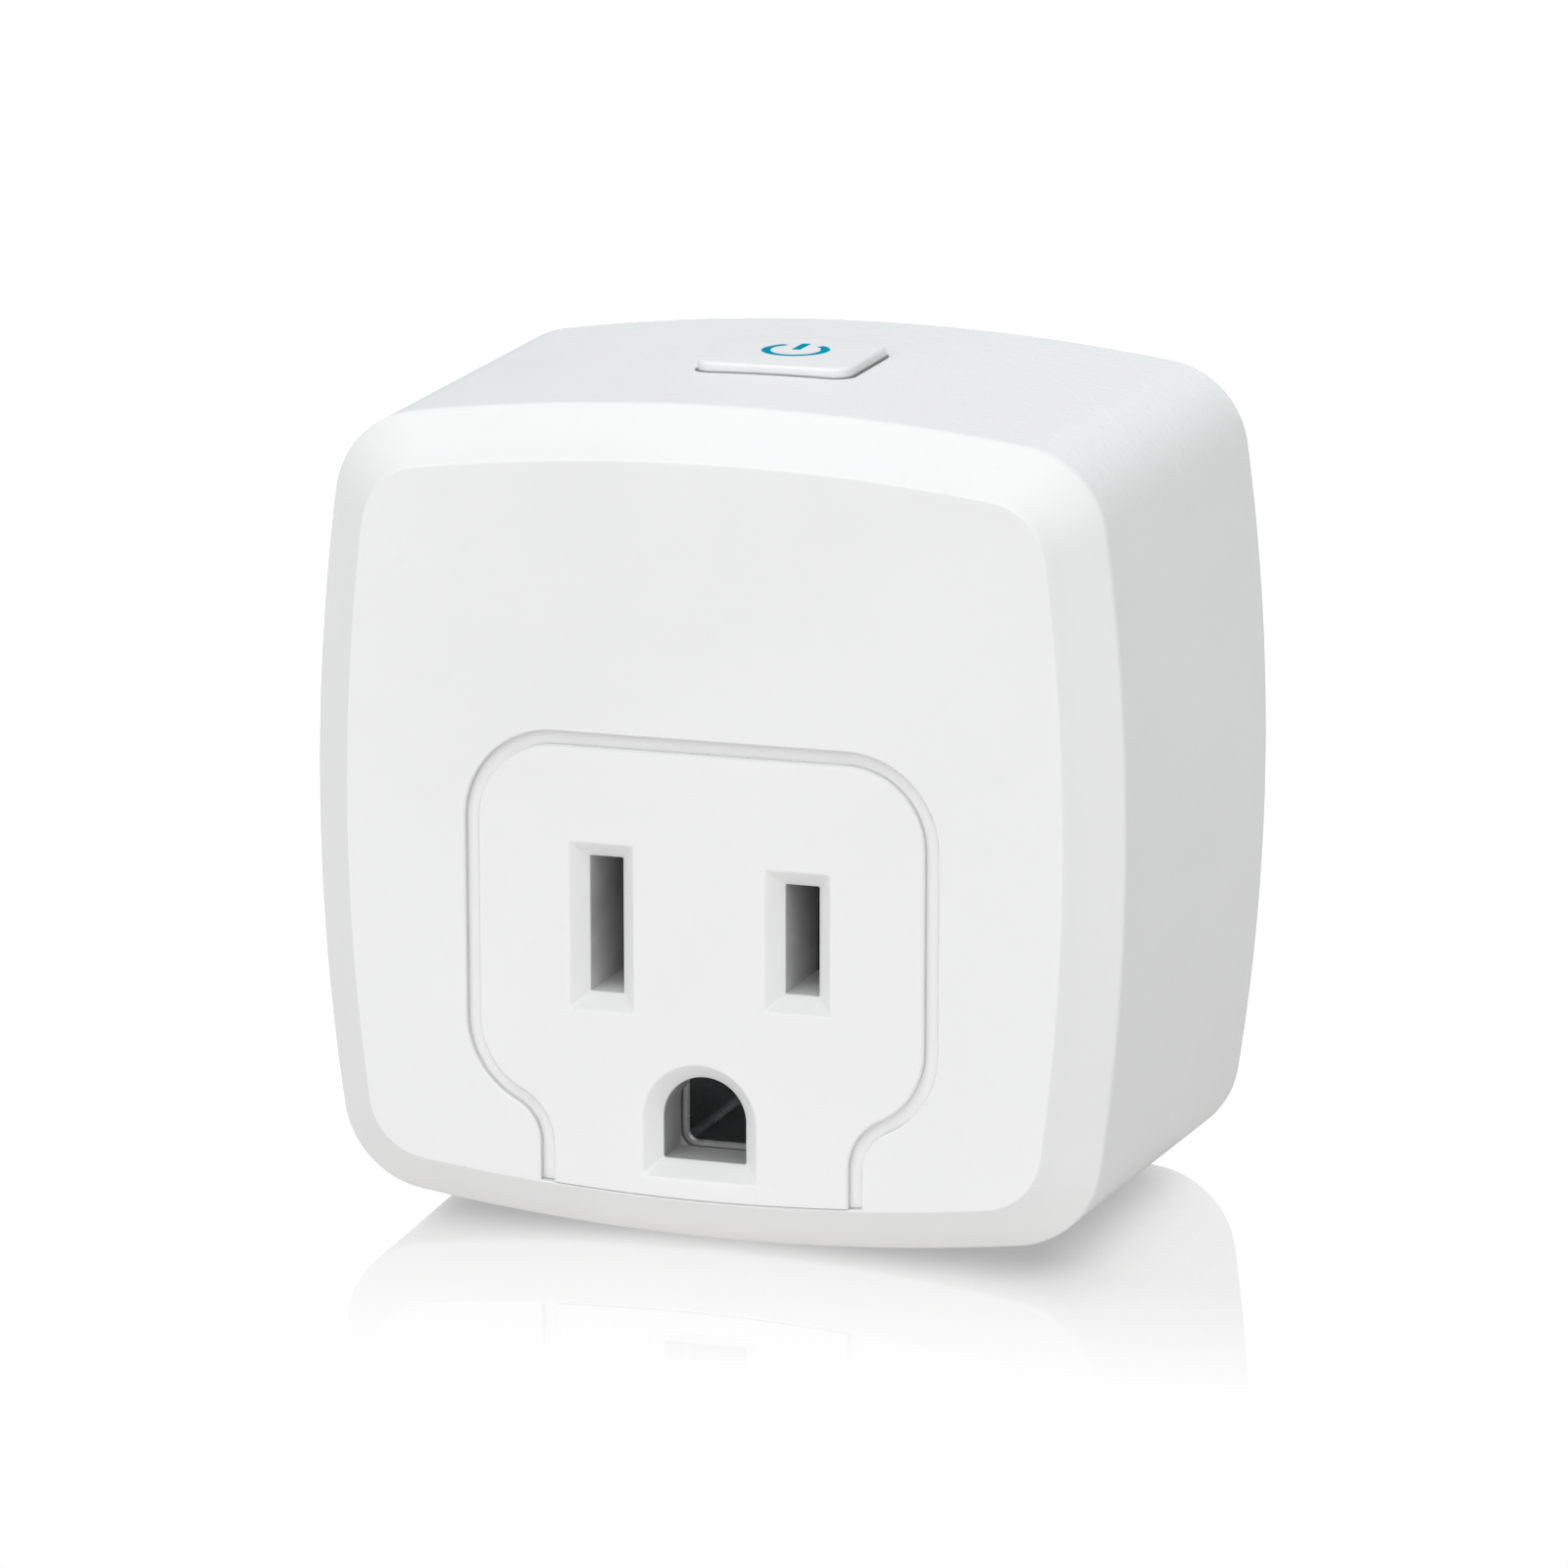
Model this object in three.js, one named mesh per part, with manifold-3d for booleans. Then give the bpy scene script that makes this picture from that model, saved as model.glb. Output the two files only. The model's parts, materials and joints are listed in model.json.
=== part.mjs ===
// Smart plug: a square, softly bowed wall-outlet adapter for a 15 A, three-pin socket.
// Millimetres. +X is right seen from the front, +Y goes into the wall, +Z is up.
// The origin is the centre of the flat back face, so the blades stand on the +Y side.
import * as THREE from 'three';
import { mergeVertices } from 'three/addons/utils/BufferGeometryUtils.js';
import Module from 'manifold-3d';

const wasm = await Module();
wasm.setup();

// ---- Driving dimensions -------------------------------------------------------------

const DEPTH = 32.5;              // back face to front face
const FRONT_HALF = 26.2;         // half width at the rim, where the front bevel starts
const BACK_HALF = 27.1;          // half width at the back face: the sides are drafted
const SIDE_BOW = 113.8;          // how far beyond the middle a bowed side's arc is centred
const CORNER_R = 6;
const BEVEL_IN = 3.1;            // front bevel, measured across the face
const BEVEL_DEEP = 2.95;         // front bevel, measured along the depth
const FACE_CORNER_R = 4;
const WALL = 2;                  // wall of the housing
const INNER_CORNER_R = 4;

const PANEL_HALF = 14.43;        // socket panel: half width of its wide upper part
const PANEL_TOP = 5.17;
const PANEL_CORNER_R = 5;
const PANEL_SHOULDER_Z = -12.38; // centre height of the lower convex corners
const NECK_HALF = 9.6;           // half width of the panel's neck
const NECK_FILLET_R = 3.7;       // concave curve from the shoulder into the neck
const GROOVE = 0.87;             // width of the groove round the panel
const GROOVE_DEEP = 0.6;
const FLANGE_LIP = 1.6;          // how far the panel's flange reaches behind the housing
const PANEL_GAP = 0.05;

const PIN_PITCH = 12.7;          // between the two blade centres
const PIN_DROP = 11.9;           // from the blade centres down to the ground pin
const PIN_Z = -6.13;             // height of the blade centres
const GROUND_Z = PIN_Z - PIN_DROP;
const LINE_X = PIN_PITCH / 2;
const NEUTRAL_X = -PIN_PITCH / 2;

const NOSE_Y = -31.3;            // front of the carrier's nose, just behind the bevelled mouths
const SLOT_HALF_WIDTH = 1.09;
const NEUTRAL_SLOT_HALF = 4.3;
const LINE_SLOT_HALF = 3.45;
const GROUND_HOLE_R = 2.69;
const GROUND_HOLE_DROP = 2.65;   // from the hole's centre to its flat bottom
const ENTRY_BEVEL = 1.02;        // bevel round each opening, as wide as it is deep
const ENTRY_DEPTH = 4;           // from the front face to the front end of the ground contact
const SLOT_DEPTH = 7.2;          // from the front face to the pockets behind the blade slots

const BLADE_THICK = 1.5;
const BLADE_LENGTH = 16.5;       // beyond the back face
const NEUTRAL_BLADE_HALF = 3.95;
const LINE_BLADE_HALF = 3.175;
const GROUND_PIN_R = 2.4;
const GROUND_PIN_LENGTH = 20.6;

const COVER = 2;                 // thickness of the rear cover
const BOSS_AT = 19.7;            // corner screw bosses, along X and Z from the centre
const BOSS_R = 2.9;

const BUTTON_HALF_X = 5.05;
const BUTTON_HALF_Y = 4.5;
const BUTTON_Y = -14.75;         // centre of the button along the depth
const BUTTON_CORNER_R = 1.3;
const BUTTON_RAISE = 0.64;       // how far the cap stands above the housing
const BUTTON_GAP = 0.2;

const POWER_BOARD = { front: -9.6, back: -8 };
const CONTROL_BOARD = { bottom: 19, top: 20 };
const SEAT = 0.03;               // small gap under a part that sits on a board

const FACE_HALF = FRONT_HALF - BEVEL_IN;
const RIM_Y = BEVEL_DEEP - DEPTH;
const GROOVE_FLOOR_Y = GROOVE_DEEP - DEPTH;
const CONTACT_Y = ENTRY_DEPTH - DEPTH;
const POCKET_Y = SLOT_DEPTH - DEPTH;

// ---- Solids: closed meshes, joined and cut --------------------------------------------

function toSolid(geometry) {
  const bare = geometry.clone();
  bare.deleteAttribute('normal');
  bare.deleteAttribute('uv');
  const merged = mergeVertices(bare, 1e-4);
  return new wasm.Manifold(new wasm.Mesh({
    numProp: 3,
    vertProperties: new Float32Array(merged.attributes.position.array),
    triVerts: new Uint32Array(merged.index.array),
  }));
}

function toGeometry(solid) {
  const mesh = solid.getMesh();
  const geometry = new THREE.BufferGeometry();
  geometry.setAttribute('position', new THREE.BufferAttribute(new Float32Array(mesh.vertProperties), 3));
  geometry.setIndex(new THREE.BufferAttribute(new Uint32Array(mesh.triVerts), 1));
  geometry.computeVertexNormals();
  return geometry;
}

function join(...geometries) {
  return toGeometry(geometries.map(toSolid).reduce((sum, next) => sum.add(next)));
}

function cut(body, ...tools) {
  return toGeometry(tools.map(toSolid).reduce((rest, tool) => rest.subtract(tool), toSolid(body)));
}

function common(first, second) {
  return toGeometry(toSolid(first).intersect(toSolid(second)));
}

// ---- Basic shapes -----------------------------------------------------------------------

function box(x, y, z) {
  const geometry = new THREE.BoxGeometry(x[1] - x[0], y[1] - y[0], z[1] - z[0]);
  return geometry.translate((x[0] + x[1]) / 2, (y[0] + y[1]) / 2, (z[0] + z[1]) / 2);
}

function extrude(shape, depth) {
  return new THREE.ExtrudeGeometry(shape, { depth, bevelEnabled: false, curveSegments: 6 });
}

// A shape drawn in X and Y, standing between two heights.
function prismZ(shape, bottom, top) {
  return extrude(shape, top - bottom).translate(0, 0, bottom);
}

// A shape drawn in X and Z, running along Y.
function prismY(shape, front, back) {
  return extrude(shape, back - front).rotateX(Math.PI / 2).translate(0, back, 0);
}

// A shape drawn in Y and Z, running along X.
function prismX(shape, left, right) {
  const swap = new THREE.Matrix4().set(0, 0, 1, left, 1, 0, 0, 0, 0, 1, 0, 0, 0, 0, 0, 1);
  return extrude(shape, right - left).applyMatrix4(swap);
}

function rodY(radius, x, z, front, back, sides = 24) {
  const rod = new THREE.CylinderGeometry(radius, radius, back - front, sides);
  return rod.translate(x, (front + back) / 2, z);
}

function rodZ(radius, x, y, bottom, top, sides = 24) {
  const rod = new THREE.CylinderGeometry(radius, radius, top - bottom, sides);
  return rod.rotateX(Math.PI / 2).translate(x, y, (bottom + top) / 2);
}

function roundedRect(halfX, halfY, radius, atX = 0, atY = 0) {
  const shape = new THREE.Shape();
  shape.absarc(atX + halfX - radius, atY + halfY - radius, radius, 0, Math.PI / 2);
  shape.absarc(atX - halfX + radius, atY + halfY - radius, radius, Math.PI / 2, Math.PI);
  shape.absarc(atX - halfX + radius, atY - halfY + radius, radius, Math.PI, Math.PI * 1.5);
  shape.absarc(atX + halfX - radius, atY - halfY + radius, radius, Math.PI * 1.5, Math.PI * 2);
  return shape;
}

function polygon(points) {
  return new THREE.Shape(points.map(([x, y]) => new THREE.Vector2(x, y)));
}

// A strip of sheet metal: a path given a thickness, with mitred bends.
function strip(path, thickness) {
  const points = path.map(([x, y]) => new THREE.Vector2(x, y));
  const normals = points.slice(1).map((point, i) => {
    const along = point.clone().sub(points[i]).normalize();
    return new THREE.Vector2(-along.y, along.x);
  });
  const offset = (i, side) => {
    const before = normals[Math.max(i - 1, 0)];
    const after = normals[Math.min(i, normals.length - 1)];
    const mitre = before.clone().add(after).normalize();
    return points[i].clone().addScaledVector(mitre, side * thickness / 2 / mitre.dot(after));
  };
  const left = points.map((_, i) => offset(i, 1));
  const right = points.map((_, i) => offset(i, -1));
  return new THREE.Shape([...right, ...left.reverse()]);
}

// A closed skin through rings of points in X and Z, each at its own Y from front to back.
function loft(rings) {
  const count = rings[0].points.length;
  const positions = rings.flatMap(({ points, y }) => points.flatMap((p) => [p.x, y, p.y]));
  const index = [];
  for (let ring = 0; ring + 1 < rings.length; ring += 1) {
    for (let i = 0; i < count; i += 1) {
      const a = ring * count + i;
      const b = ring * count + (i + 1) % count;
      index.push(a, b, a + count);
      index.push(b, b + count, a + count);
    }
  }
  const last = (rings.length - 1) * count;
  for (const [a, b, c] of THREE.ShapeUtils.triangulateShape(rings[0].points, [])) {
    index.push(a, c, b);
  }
  for (const [a, b, c] of THREE.ShapeUtils.triangulateShape(rings.at(-1).points, [])) {
    index.push(last + a, last + b, last + c);
  }
  const geometry = new THREE.BufferGeometry();
  geometry.setAttribute('position', new THREE.Float32BufferAttribute(positions, 3));
  geometry.setIndex(index.flatMap((_, i) => (i % 3 === 0 ? [index[i], index[i + 2], index[i + 1]] : [])));
  return geometry;
}

// ---- Outlines ---------------------------------------------------------------------------

// The body's cross-section: a square with bowed sides and round corners, counter-clockwise.
function bowedSquare(half, cornerRadius) {
  const sideSteps = 8;
  const cornerSteps = 6;
  const sideRadius = SIDE_BOW + half;
  const reach = sideRadius - cornerRadius;
  const centre = (Math.sqrt(2 * reach ** 2 - SIDE_BOW ** 2) - SIDE_BOW) / 2;
  const tilt = Math.atan2(centre, centre + SIDE_BOW);
  const points = [];
  for (let quarter = 0; quarter < 4; quarter += 1) {
    const turn = quarter * Math.PI / 2;
    const add = (x, y, radius, angle) => {
      const point = new THREE.Vector2(x + radius * Math.cos(angle), y + radius * Math.sin(angle));
      points.push(point.rotateAround(new THREE.Vector2(), turn));
    };
    for (let i = 0; i < sideSteps; i += 1) {
      add(-SIDE_BOW, 0, sideRadius, tilt * (2 * i / sideSteps - 1));
    }
    for (let i = 0; i < cornerSteps; i += 1) {
      add(centre, centre, cornerRadius, tilt + (Math.PI / 2 - 2 * tilt) * i / cornerSteps);
    }
  }
  return points;
}

// Half width of the drafted sides at a given depth.
function halfAt(y) {
  return BACK_HALF + (BACK_HALF - FRONT_HALF) * y / -RIM_Y;
}

// The whole outer form, grown outwards by a margin.
function outerForm(margin = 0) {
  return loft([
    { points: bowedSquare(FACE_HALF + margin, FACE_CORNER_R), y: -DEPTH - margin },
    { points: bowedSquare(FRONT_HALF + margin, CORNER_R), y: RIM_Y },
    { points: bowedSquare(BACK_HALF + margin, CORNER_R), y: margin },
  ]);
}

// The socket panel's outline, grown by a margin: a rounded panel with a neck that runs down.
function panelShape(margin, bottom) {
  const side = PANEL_HALF + margin;
  const neck = NECK_HALF + margin;
  const round = PANEL_CORNER_R + margin;
  const fillet = NECK_FILLET_R - margin;
  const cornerX = side - round;
  const cornerZ = PANEL_TOP + margin - round;
  const filletX = neck + fillet;
  const drop = Math.sqrt((round + fillet) ** 2 - (filletX - cornerX) ** 2);
  const filletZ = PANEL_SHOULDER_Z - drop;
  const lean = Math.atan2(drop, filletX - cornerX);
  const shape = new THREE.Shape();
  shape.moveTo(neck, bottom);
  shape.lineTo(neck, filletZ);
  shape.absarc(filletX, filletZ, fillet, Math.PI, Math.PI - lean, true);
  shape.absarc(cornerX, PANEL_SHOULDER_Z, round, -lean, 0);
  shape.absarc(cornerX, cornerZ, round, 0, Math.PI / 2);
  shape.absarc(-cornerX, cornerZ, round, Math.PI / 2, Math.PI);
  shape.absarc(-cornerX, PANEL_SHOULDER_Z, round, Math.PI, Math.PI + lean);
  shape.absarc(-filletX, filletZ, fillet, lean, 0, true);
  shape.lineTo(-neck, bottom);
  return shape;
}

function slotPoints(x, halfHeight, margin) {
  const halfWidth = SLOT_HALF_WIDTH + margin;
  const tall = halfHeight + margin;
  return polygon([
    [x - halfWidth, PIN_Z - tall],
    [x + halfWidth, PIN_Z - tall],
    [x + halfWidth, PIN_Z + tall],
    [x - halfWidth, PIN_Z + tall],
  ]).getPoints();
}

// The ground hole: round above, flat below.
function groundPoints(margin) {
  const radius = GROUND_HOLE_R + margin;
  const steps = 16;
  const points = [];
  for (let i = 0; i <= steps; i += 1) {
    const angle = Math.PI * i / steps;
    points.push(new THREE.Vector2(radius * Math.cos(angle), GROUND_Z + radius * Math.sin(angle)));
  }
  const floor = GROUND_Z - GROUND_HOLE_DROP - margin;
  points.push(new THREE.Vector2(-radius, floor));
  points.push(new THREE.Vector2(radius, floor));
  return points;
}

// An opening with a bevelled mouth; outline(margin) gives its points.
function entry(outline) {
  const over = 0.1;
  return loft([
    { points: outline(ENTRY_BEVEL + over), y: -DEPTH - over },
    { points: outline(0), y: ENTRY_BEVEL - DEPTH },
    { points: outline(0), y: NOSE_Y },
  ]);
}

// ---- Materials and scene ------------------------------------------------------------------

const finishes = {
  white: { color: 0xedeeef, roughness: 0.55, metalness: 0 },
  grey: { color: 0xcacacb, roughness: 0.6, metalness: 0 },
  black: { color: 0x222325, roughness: 0.6, metalness: 0 },
  tint: { color: 0x1f97b8, roughness: 0.35, metalness: 0 },
  board: { color: 0x1d5a3a, roughness: 0.5, metalness: 0 },
  tin: { color: 0xc3c5c8, roughness: 0.3, metalness: 1 },
  brass: { color: 0xc9a45c, roughness: 0.3, metalness: 1 },
  copper: { color: 0xb87345, roughness: 0.35, metalness: 1 },
  steel: { color: 0x8f9296, roughness: 0.35, metalness: 1 },
  blue: { color: 0x2b5fa8, roughness: 0.5, metalness: 0 },
  yellow: { color: 0xd9b23a, roughness: 0.5, metalness: 0 },
};

const plug = new THREE.Group();

function place(name, geometry, finish, parent = plug) {
  const mesh = new THREE.Mesh(geometry, new THREE.MeshStandardMaterial(finishes[finish]));
  mesh.name = name;
  parent.add(mesh);
  return mesh;
}

const corners = [[1, 1], [-1, 1], [-1, -1], [1, -1]];

// ---- Housing: sides, bevel and front face in one shell ----------------------------------------

const WINDOW_HALF = FACE_HALF - 0.02; // where the bevel's inner edge ends the window below
const FLANGE_BACK = -30.3;

// The panel's flange, or the pocket that takes it when grown by a gap; the bevel ends both below.
function flangePlate(gap, front, back) {
  const top = PANEL_TOP + GROOVE + FLANGE_LIP + gap;
  const bottom = -2 * FACE_HALF;
  const halfHeight = (top - bottom) / 2;
  const outline = roundedRect(PANEL_HALF + GROOVE + FLANGE_LIP + gap, halfHeight, 5, 0, bottom + halfHeight);
  return prismY(outline, front, back);
}

function faceLimit(half) {
  return prismY(new THREE.Shape(bowedSquare(half, FACE_CORNER_R)), -DEPTH - 1, WALL - DEPTH + 1);
}

const buttonHole = prismZ(
  roundedRect(BUTTON_HALF_X + BUTTON_GAP, BUTTON_HALF_Y + BUTTON_GAP, BUTTON_CORNER_R, 0, BUTTON_Y),
  20,
  30,
);

function housing() {
  const cavity = loft([
    { points: bowedSquare(FACE_HALF - 0.8, 3.2), y: WALL - DEPTH },
    { points: bowedSquare(halfAt(-28.7) - WALL, INNER_CORNER_R), y: -28.7 },
    { points: bowedSquare(halfAt(1) - WALL, INNER_CORNER_R), y: 1 },
  ]);
  const bosses = corners.map(([x, z]) => rodY(BOSS_R, x * BOSS_AT, z * BOSS_AT, -31, -COVER - 0.1));
  const pilots = corners.map(([x, z]) => rodY(1.1, x * BOSS_AT, z * BOSS_AT, -11, 1, 16));
  // ribs on the side walls that the power board rests against
  const ribs = [-1, 1].map((side) => box(
    side > 0 ? [23.3, 25] : [-25, -23.3],
    [-28, POWER_BOARD.front - SEAT],
    [-4, -2.6],
  ));
  const opening = join(
    prismY(panelShape(GROOVE, -30), -DEPTH - 1, -30),
    flangePlate(0.15, GROOVE_FLOOR_Y - SEAT, -30),
  );
  const window = common(opening, faceLimit(WINDOW_HALF));
  return cut(join(cut(outerForm(), cavity), ...bosses, ...ribs), ...pilots, window, buttonHole);
}

place('housing', housing(), 'white');

// ---- Socket: panel, carrier and the three female contacts ----------------------------------------

// The carrier's nose, or the recess for it behind the panel when grown by a gap.
function nose(gap, front, back) {
  return box([-9 - gap, 9 + gap], [front, back], [-21.4 - gap, -1.2 + gap]);
}

function socketPanel() {
  const front = join(
    prismY(panelShape(0, -30), -DEPTH, FLANGE_BACK),
    flangePlate(0, GROOVE_FLOOR_Y, FLANGE_BACK),
  );
  return cut(
    common(front, faceLimit(WINDOW_HALF - PANEL_GAP)),
    nose(0.1, NOSE_Y - 0.05, FLANGE_BACK + 1),
    entry((margin) => slotPoints(NEUTRAL_X, NEUTRAL_SLOT_HALF, margin)),
    entry((margin) => slotPoints(LINE_X, LINE_SLOT_HALF, margin)),
    entry(groundPoints),
  );
}

place('socket_panel', socketPanel(), 'white');

const GROUND_BOX_HALF = 2.62;    // square sheet-metal ground contact, outside
const GROUND_BOX_WALL = 0.5;
const GROUND_BOX_Z = GROUND_Z - 0.12;
const CARRIER_BACK = -15.4;

function contactCarrier() {
  const block = box([-12.3, 12.3], [FLANGE_BACK + 0.1, CARRIER_BACK], [-22, 0.8]);
  const straight = (outline, back) => prismY(new THREE.Shape(outline), NOSE_Y - 1, back + 1);
  const pocket = (x) => box([x - 2.5, x + 2.5], [POCKET_Y, CARRIER_BACK + 1], [PIN_Z - 4.6, PIN_Z + 4.6]);
  const side = GROUND_BOX_HALF + 0.1;
  const well = prismY(roundedRect(side, side, 1.2, 0, GROUND_BOX_Z), CONTACT_Y, CARRIER_BACK + 1);
  return cut(
    join(block, nose(0, NOSE_Y, FLANGE_BACK + 1)),
    pocket(NEUTRAL_X),
    pocket(LINE_X),
    well,
    straight(slotPoints(NEUTRAL_X, NEUTRAL_SLOT_HALF, 0), POCKET_Y),
    straight(slotPoints(LINE_X, LINE_SLOT_HALF, 0), POCKET_Y),
    straight(groundPoints(0), CONTACT_Y - 0.95),
  );
}

place('contact_carrier', contactCarrier(), 'grey');

// A double-wipe clip: two leaves with flared mouths, a web behind them, and a solder tail.
function clip(x, leafHalf) {
  const right = [[1.9, -24.9], [1.05, -22.9], [1.3, -20.4], [1.05, -17.6], [0, -17.6]];
  const left = right.slice(0, -1).reverse().map(([px, py]) => [-px, py]);
  const path = [...right, ...left].map(([px, py]) => [x + px, py]);
  const leaves = prismZ(strip(path, 0.45), PIN_Z - leafHalf, PIN_Z + leafHalf);
  const tail = box([x - 0.3, x + 0.3], [-17.7, POWER_BOARD.back + 0.7], [PIN_Z - 3.2, PIN_Z - 1.4]);
  return join(leaves, tail);
}

place('neutral_contact', clip(NEUTRAL_X, 3.6), 'tin');
place('line_contact', clip(LINE_X, 2.8), 'tin');

function groundContact() {
  const inner = GROUND_BOX_HALF - GROUND_BOX_WALL;
  const outline = roundedRect(GROUND_BOX_HALF, GROUND_BOX_HALF, 1.1, 0, GROUND_BOX_Z);
  outline.holes.push(roundedRect(inner, inner, 0.62, 0, GROUND_BOX_Z));
  return prismY(outline, CONTACT_Y + 0.05, CARRIER_BACK + 0.5);
}

place('ground_contact', groundContact(), 'tin');

// ---- Blades, ground pin and the strap that earths the socket ------------------------------------------

const COVER_INSIDE = -COVER - SEAT;

// A flat blade with a chamfered tip and a locking hole. The shank in the cover is thinner, and ends
// in a shoulder behind the cover and a solder tail.
function blade(x, half) {
  const tip = 1.1;
  const shankHalf = BLADE_THICK / 2 - 0.05;
  const exposed = polygon([
    [SEAT, PIN_Z - half],
    [BLADE_LENGTH - tip, PIN_Z - half],
    [BLADE_LENGTH, PIN_Z - half + tip],
    [BLADE_LENGTH, PIN_Z + half - tip],
    [BLADE_LENGTH - tip, PIN_Z + half],
    [SEAT, PIN_Z + half],
  ]);
  const shank = polygon([
    [COVER_INSIDE, PIN_Z - half],
    [1, PIN_Z - half],
    [1, PIN_Z + half],
    [COVER_INSIDE, PIN_Z + half],
    [COVER_INSIDE, PIN_Z + half + 0.8],
    [COVER_INSIDE - 1.2, PIN_Z + half + 0.8],
    [COVER_INSIDE - 1.2, PIN_Z + 2.8],
    [POWER_BOARD.front - 0.8, PIN_Z + 2.8],
    [POWER_BOARD.front - 0.8, PIN_Z + 1],
    [COVER_INSIDE - 1.2, PIN_Z + 1],
    [COVER_INSIDE - 1.2, PIN_Z - half - 0.8],
    [COVER_INSIDE, PIN_Z - half - 0.8],
  ]);
  const hole = new THREE.Path();
  hole.absarc(11.7, PIN_Z, 1.6, 0, Math.PI * 2, true);
  exposed.holes.push(hole);
  return join(
    prismX(exposed, x - BLADE_THICK / 2, x + BLADE_THICK / 2),
    prismX(shank, x - shankHalf, x + shankHalf),
  );
}

place('neutral_blade', blade(NEUTRAL_X, NEUTRAL_BLADE_HALF), 'brass');
place('line_blade', blade(LINE_X, LINE_BLADE_HALF), 'brass');

function groundPin() {
  const profile = [
    [0, COVER_INSIDE - 1.6],
    [3.3, COVER_INSIDE - 1.6],
    [3.3, COVER_INSIDE],
    [GROUND_PIN_R, COVER_INSIDE],
    [GROUND_PIN_R, GROUND_PIN_LENGTH - 2],
    [2.1, GROUND_PIN_LENGTH - 0.9],
    [1.3, GROUND_PIN_LENGTH - 0.2],
    [0, GROUND_PIN_LENGTH],
  ].map(([r, y]) => new THREE.Vector2(r, y));
  return new THREE.LatheGeometry(profile, 24).translate(0, 0, GROUND_Z);
}

place('ground_pin', groundPin(), 'brass');

function groundStrap() {
  const front = CARRIER_BACK + 0.55;
  const back = COVER_INSIDE - 1.65;
  const sheet = 0.6;
  const wing = 2.4;
  const web = sheet / 2;
  return prismX(polygon([
    [front, GROUND_Z - wing],
    [front + sheet, GROUND_Z - wing],
    [front + sheet, GROUND_Z - web],
    [back - sheet, GROUND_Z - web],
    [back - sheet, GROUND_Z - wing],
    [back, GROUND_Z - wing],
    [back, GROUND_Z + wing],
    [back - sheet, GROUND_Z + wing],
    [back - sheet, GROUND_Z + web],
    [front + sheet, GROUND_Z + web],
    [front + sheet, GROUND_Z + wing],
    [front, GROUND_Z + wing],
  ]), -1.9, 1.9);
}

place('ground_strap', groundStrap(), 'tin');

// ---- Rear cover and its four corner screws ---------------------------------------------------------

function rearCover() {
  const plate = prismY(new THREE.Shape(bowedSquare(halfAt(-COVER) - WALL - 0.12, 3.9)), -COVER, 0);
  const posts = corners.map(([x, z]) => rodY(1.4, x * 21.5, z * 9.5, POWER_BOARD.back + SEAT, -COVER + 1, 16));
  const slot = (x, half) => box(
    [x - BLADE_THICK / 2 - 0.1, x + BLADE_THICK / 2 + 0.1],
    [-3, 1],
    [PIN_Z - half - 0.1, PIN_Z + half + 0.1],
  );
  const screwHoles = corners.flatMap(([x, z]) => [
    rodY(1.25, x * BOSS_AT, z * BOSS_AT, -3, 1, 16),
    rodY(2.2, x * BOSS_AT, z * BOSS_AT, -1.15, 1),
  ]);
  return cut(
    join(plate, ...posts),
    slot(NEUTRAL_X, NEUTRAL_BLADE_HALF),
    slot(LINE_X, LINE_BLADE_HALF),
    rodY(GROUND_PIN_R + 0.1, 0, GROUND_Z, -3, 1),
    ...screwHoles,
  );
}

place('rear_cover', rearCover(), 'white');

// A pan-head screw with a three-sided recess, head face at y = 0, pointing to -Y.
function coverScrew() {
  const profile = [[0, -9], [0.6, -8.6], [0.95, -7.6], [0.95, -0.95], [2, -0.95], [2, -0.25], [1.75, 0], [0, 0]];
  const body = new THREE.LatheGeometry(profile.map(([r, y]) => new THREE.Vector2(r, y)), 20);
  return cut(body, rodY(0.95, 0, 0, -0.6, 1, 3));
}

corners.forEach(([x, z], i) => {
  const screw = place(`cover_screw_${i + 1}`, coverScrew(), 'steel');
  screw.position.set(x * BOSS_AT, -0.15, z * BOSS_AT);
});

// ---- Button: cap, tinted light guide, and the switch under it ---------------------------------------------

const SYMBOL_Y = -14.1;          // centre of the power symbol's ring along the depth
const RING_R = 1.87;             // middle of the ring's stroke
const STROKE = 0.54;
const RING_GAP = 0.65;           // half angle of the ring's opening, radians
const BAR_LENGTH = 2.2;          // from the ring's centre outwards
const CAP_BOTTOM = 23.8;
const GUIDE_TOP = 26;            // top of the light guide's plate, inside the cap

// The ring and the bar of the symbol, drawn upright towards +Y.
function symbolShapes(grow) {
  const half = STROKE / 2 + grow;
  const spread = RING_GAP - grow / RING_R;
  const start = Math.PI / 2 + spread;
  const end = Math.PI * 2.5 - spread;
  const ring = new THREE.Shape();
  ring.absarc(0, SYMBOL_Y, RING_R + half, start, end);
  ring.absarc(0, SYMBOL_Y, RING_R - half, end, start, true);
  const bar = polygon([
    [-half, SYMBOL_Y - grow],
    [half, SYMBOL_Y - grow],
    [half, SYMBOL_Y + BAR_LENGTH + grow],
    [-half, SYMBOL_Y + BAR_LENGTH + grow],
  ]);
  return [ring, bar];
}

function symbolPrism(grow, bottom, top) {
  const [ring, bar] = symbolShapes(grow).map((shape) => new THREE.ExtrudeGeometry(shape, {
    depth: top - bottom,
    bevelEnabled: false,
    curveSegments: 20,
  }).translate(0, 0, bottom));
  return [ring, bar];
}

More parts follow.
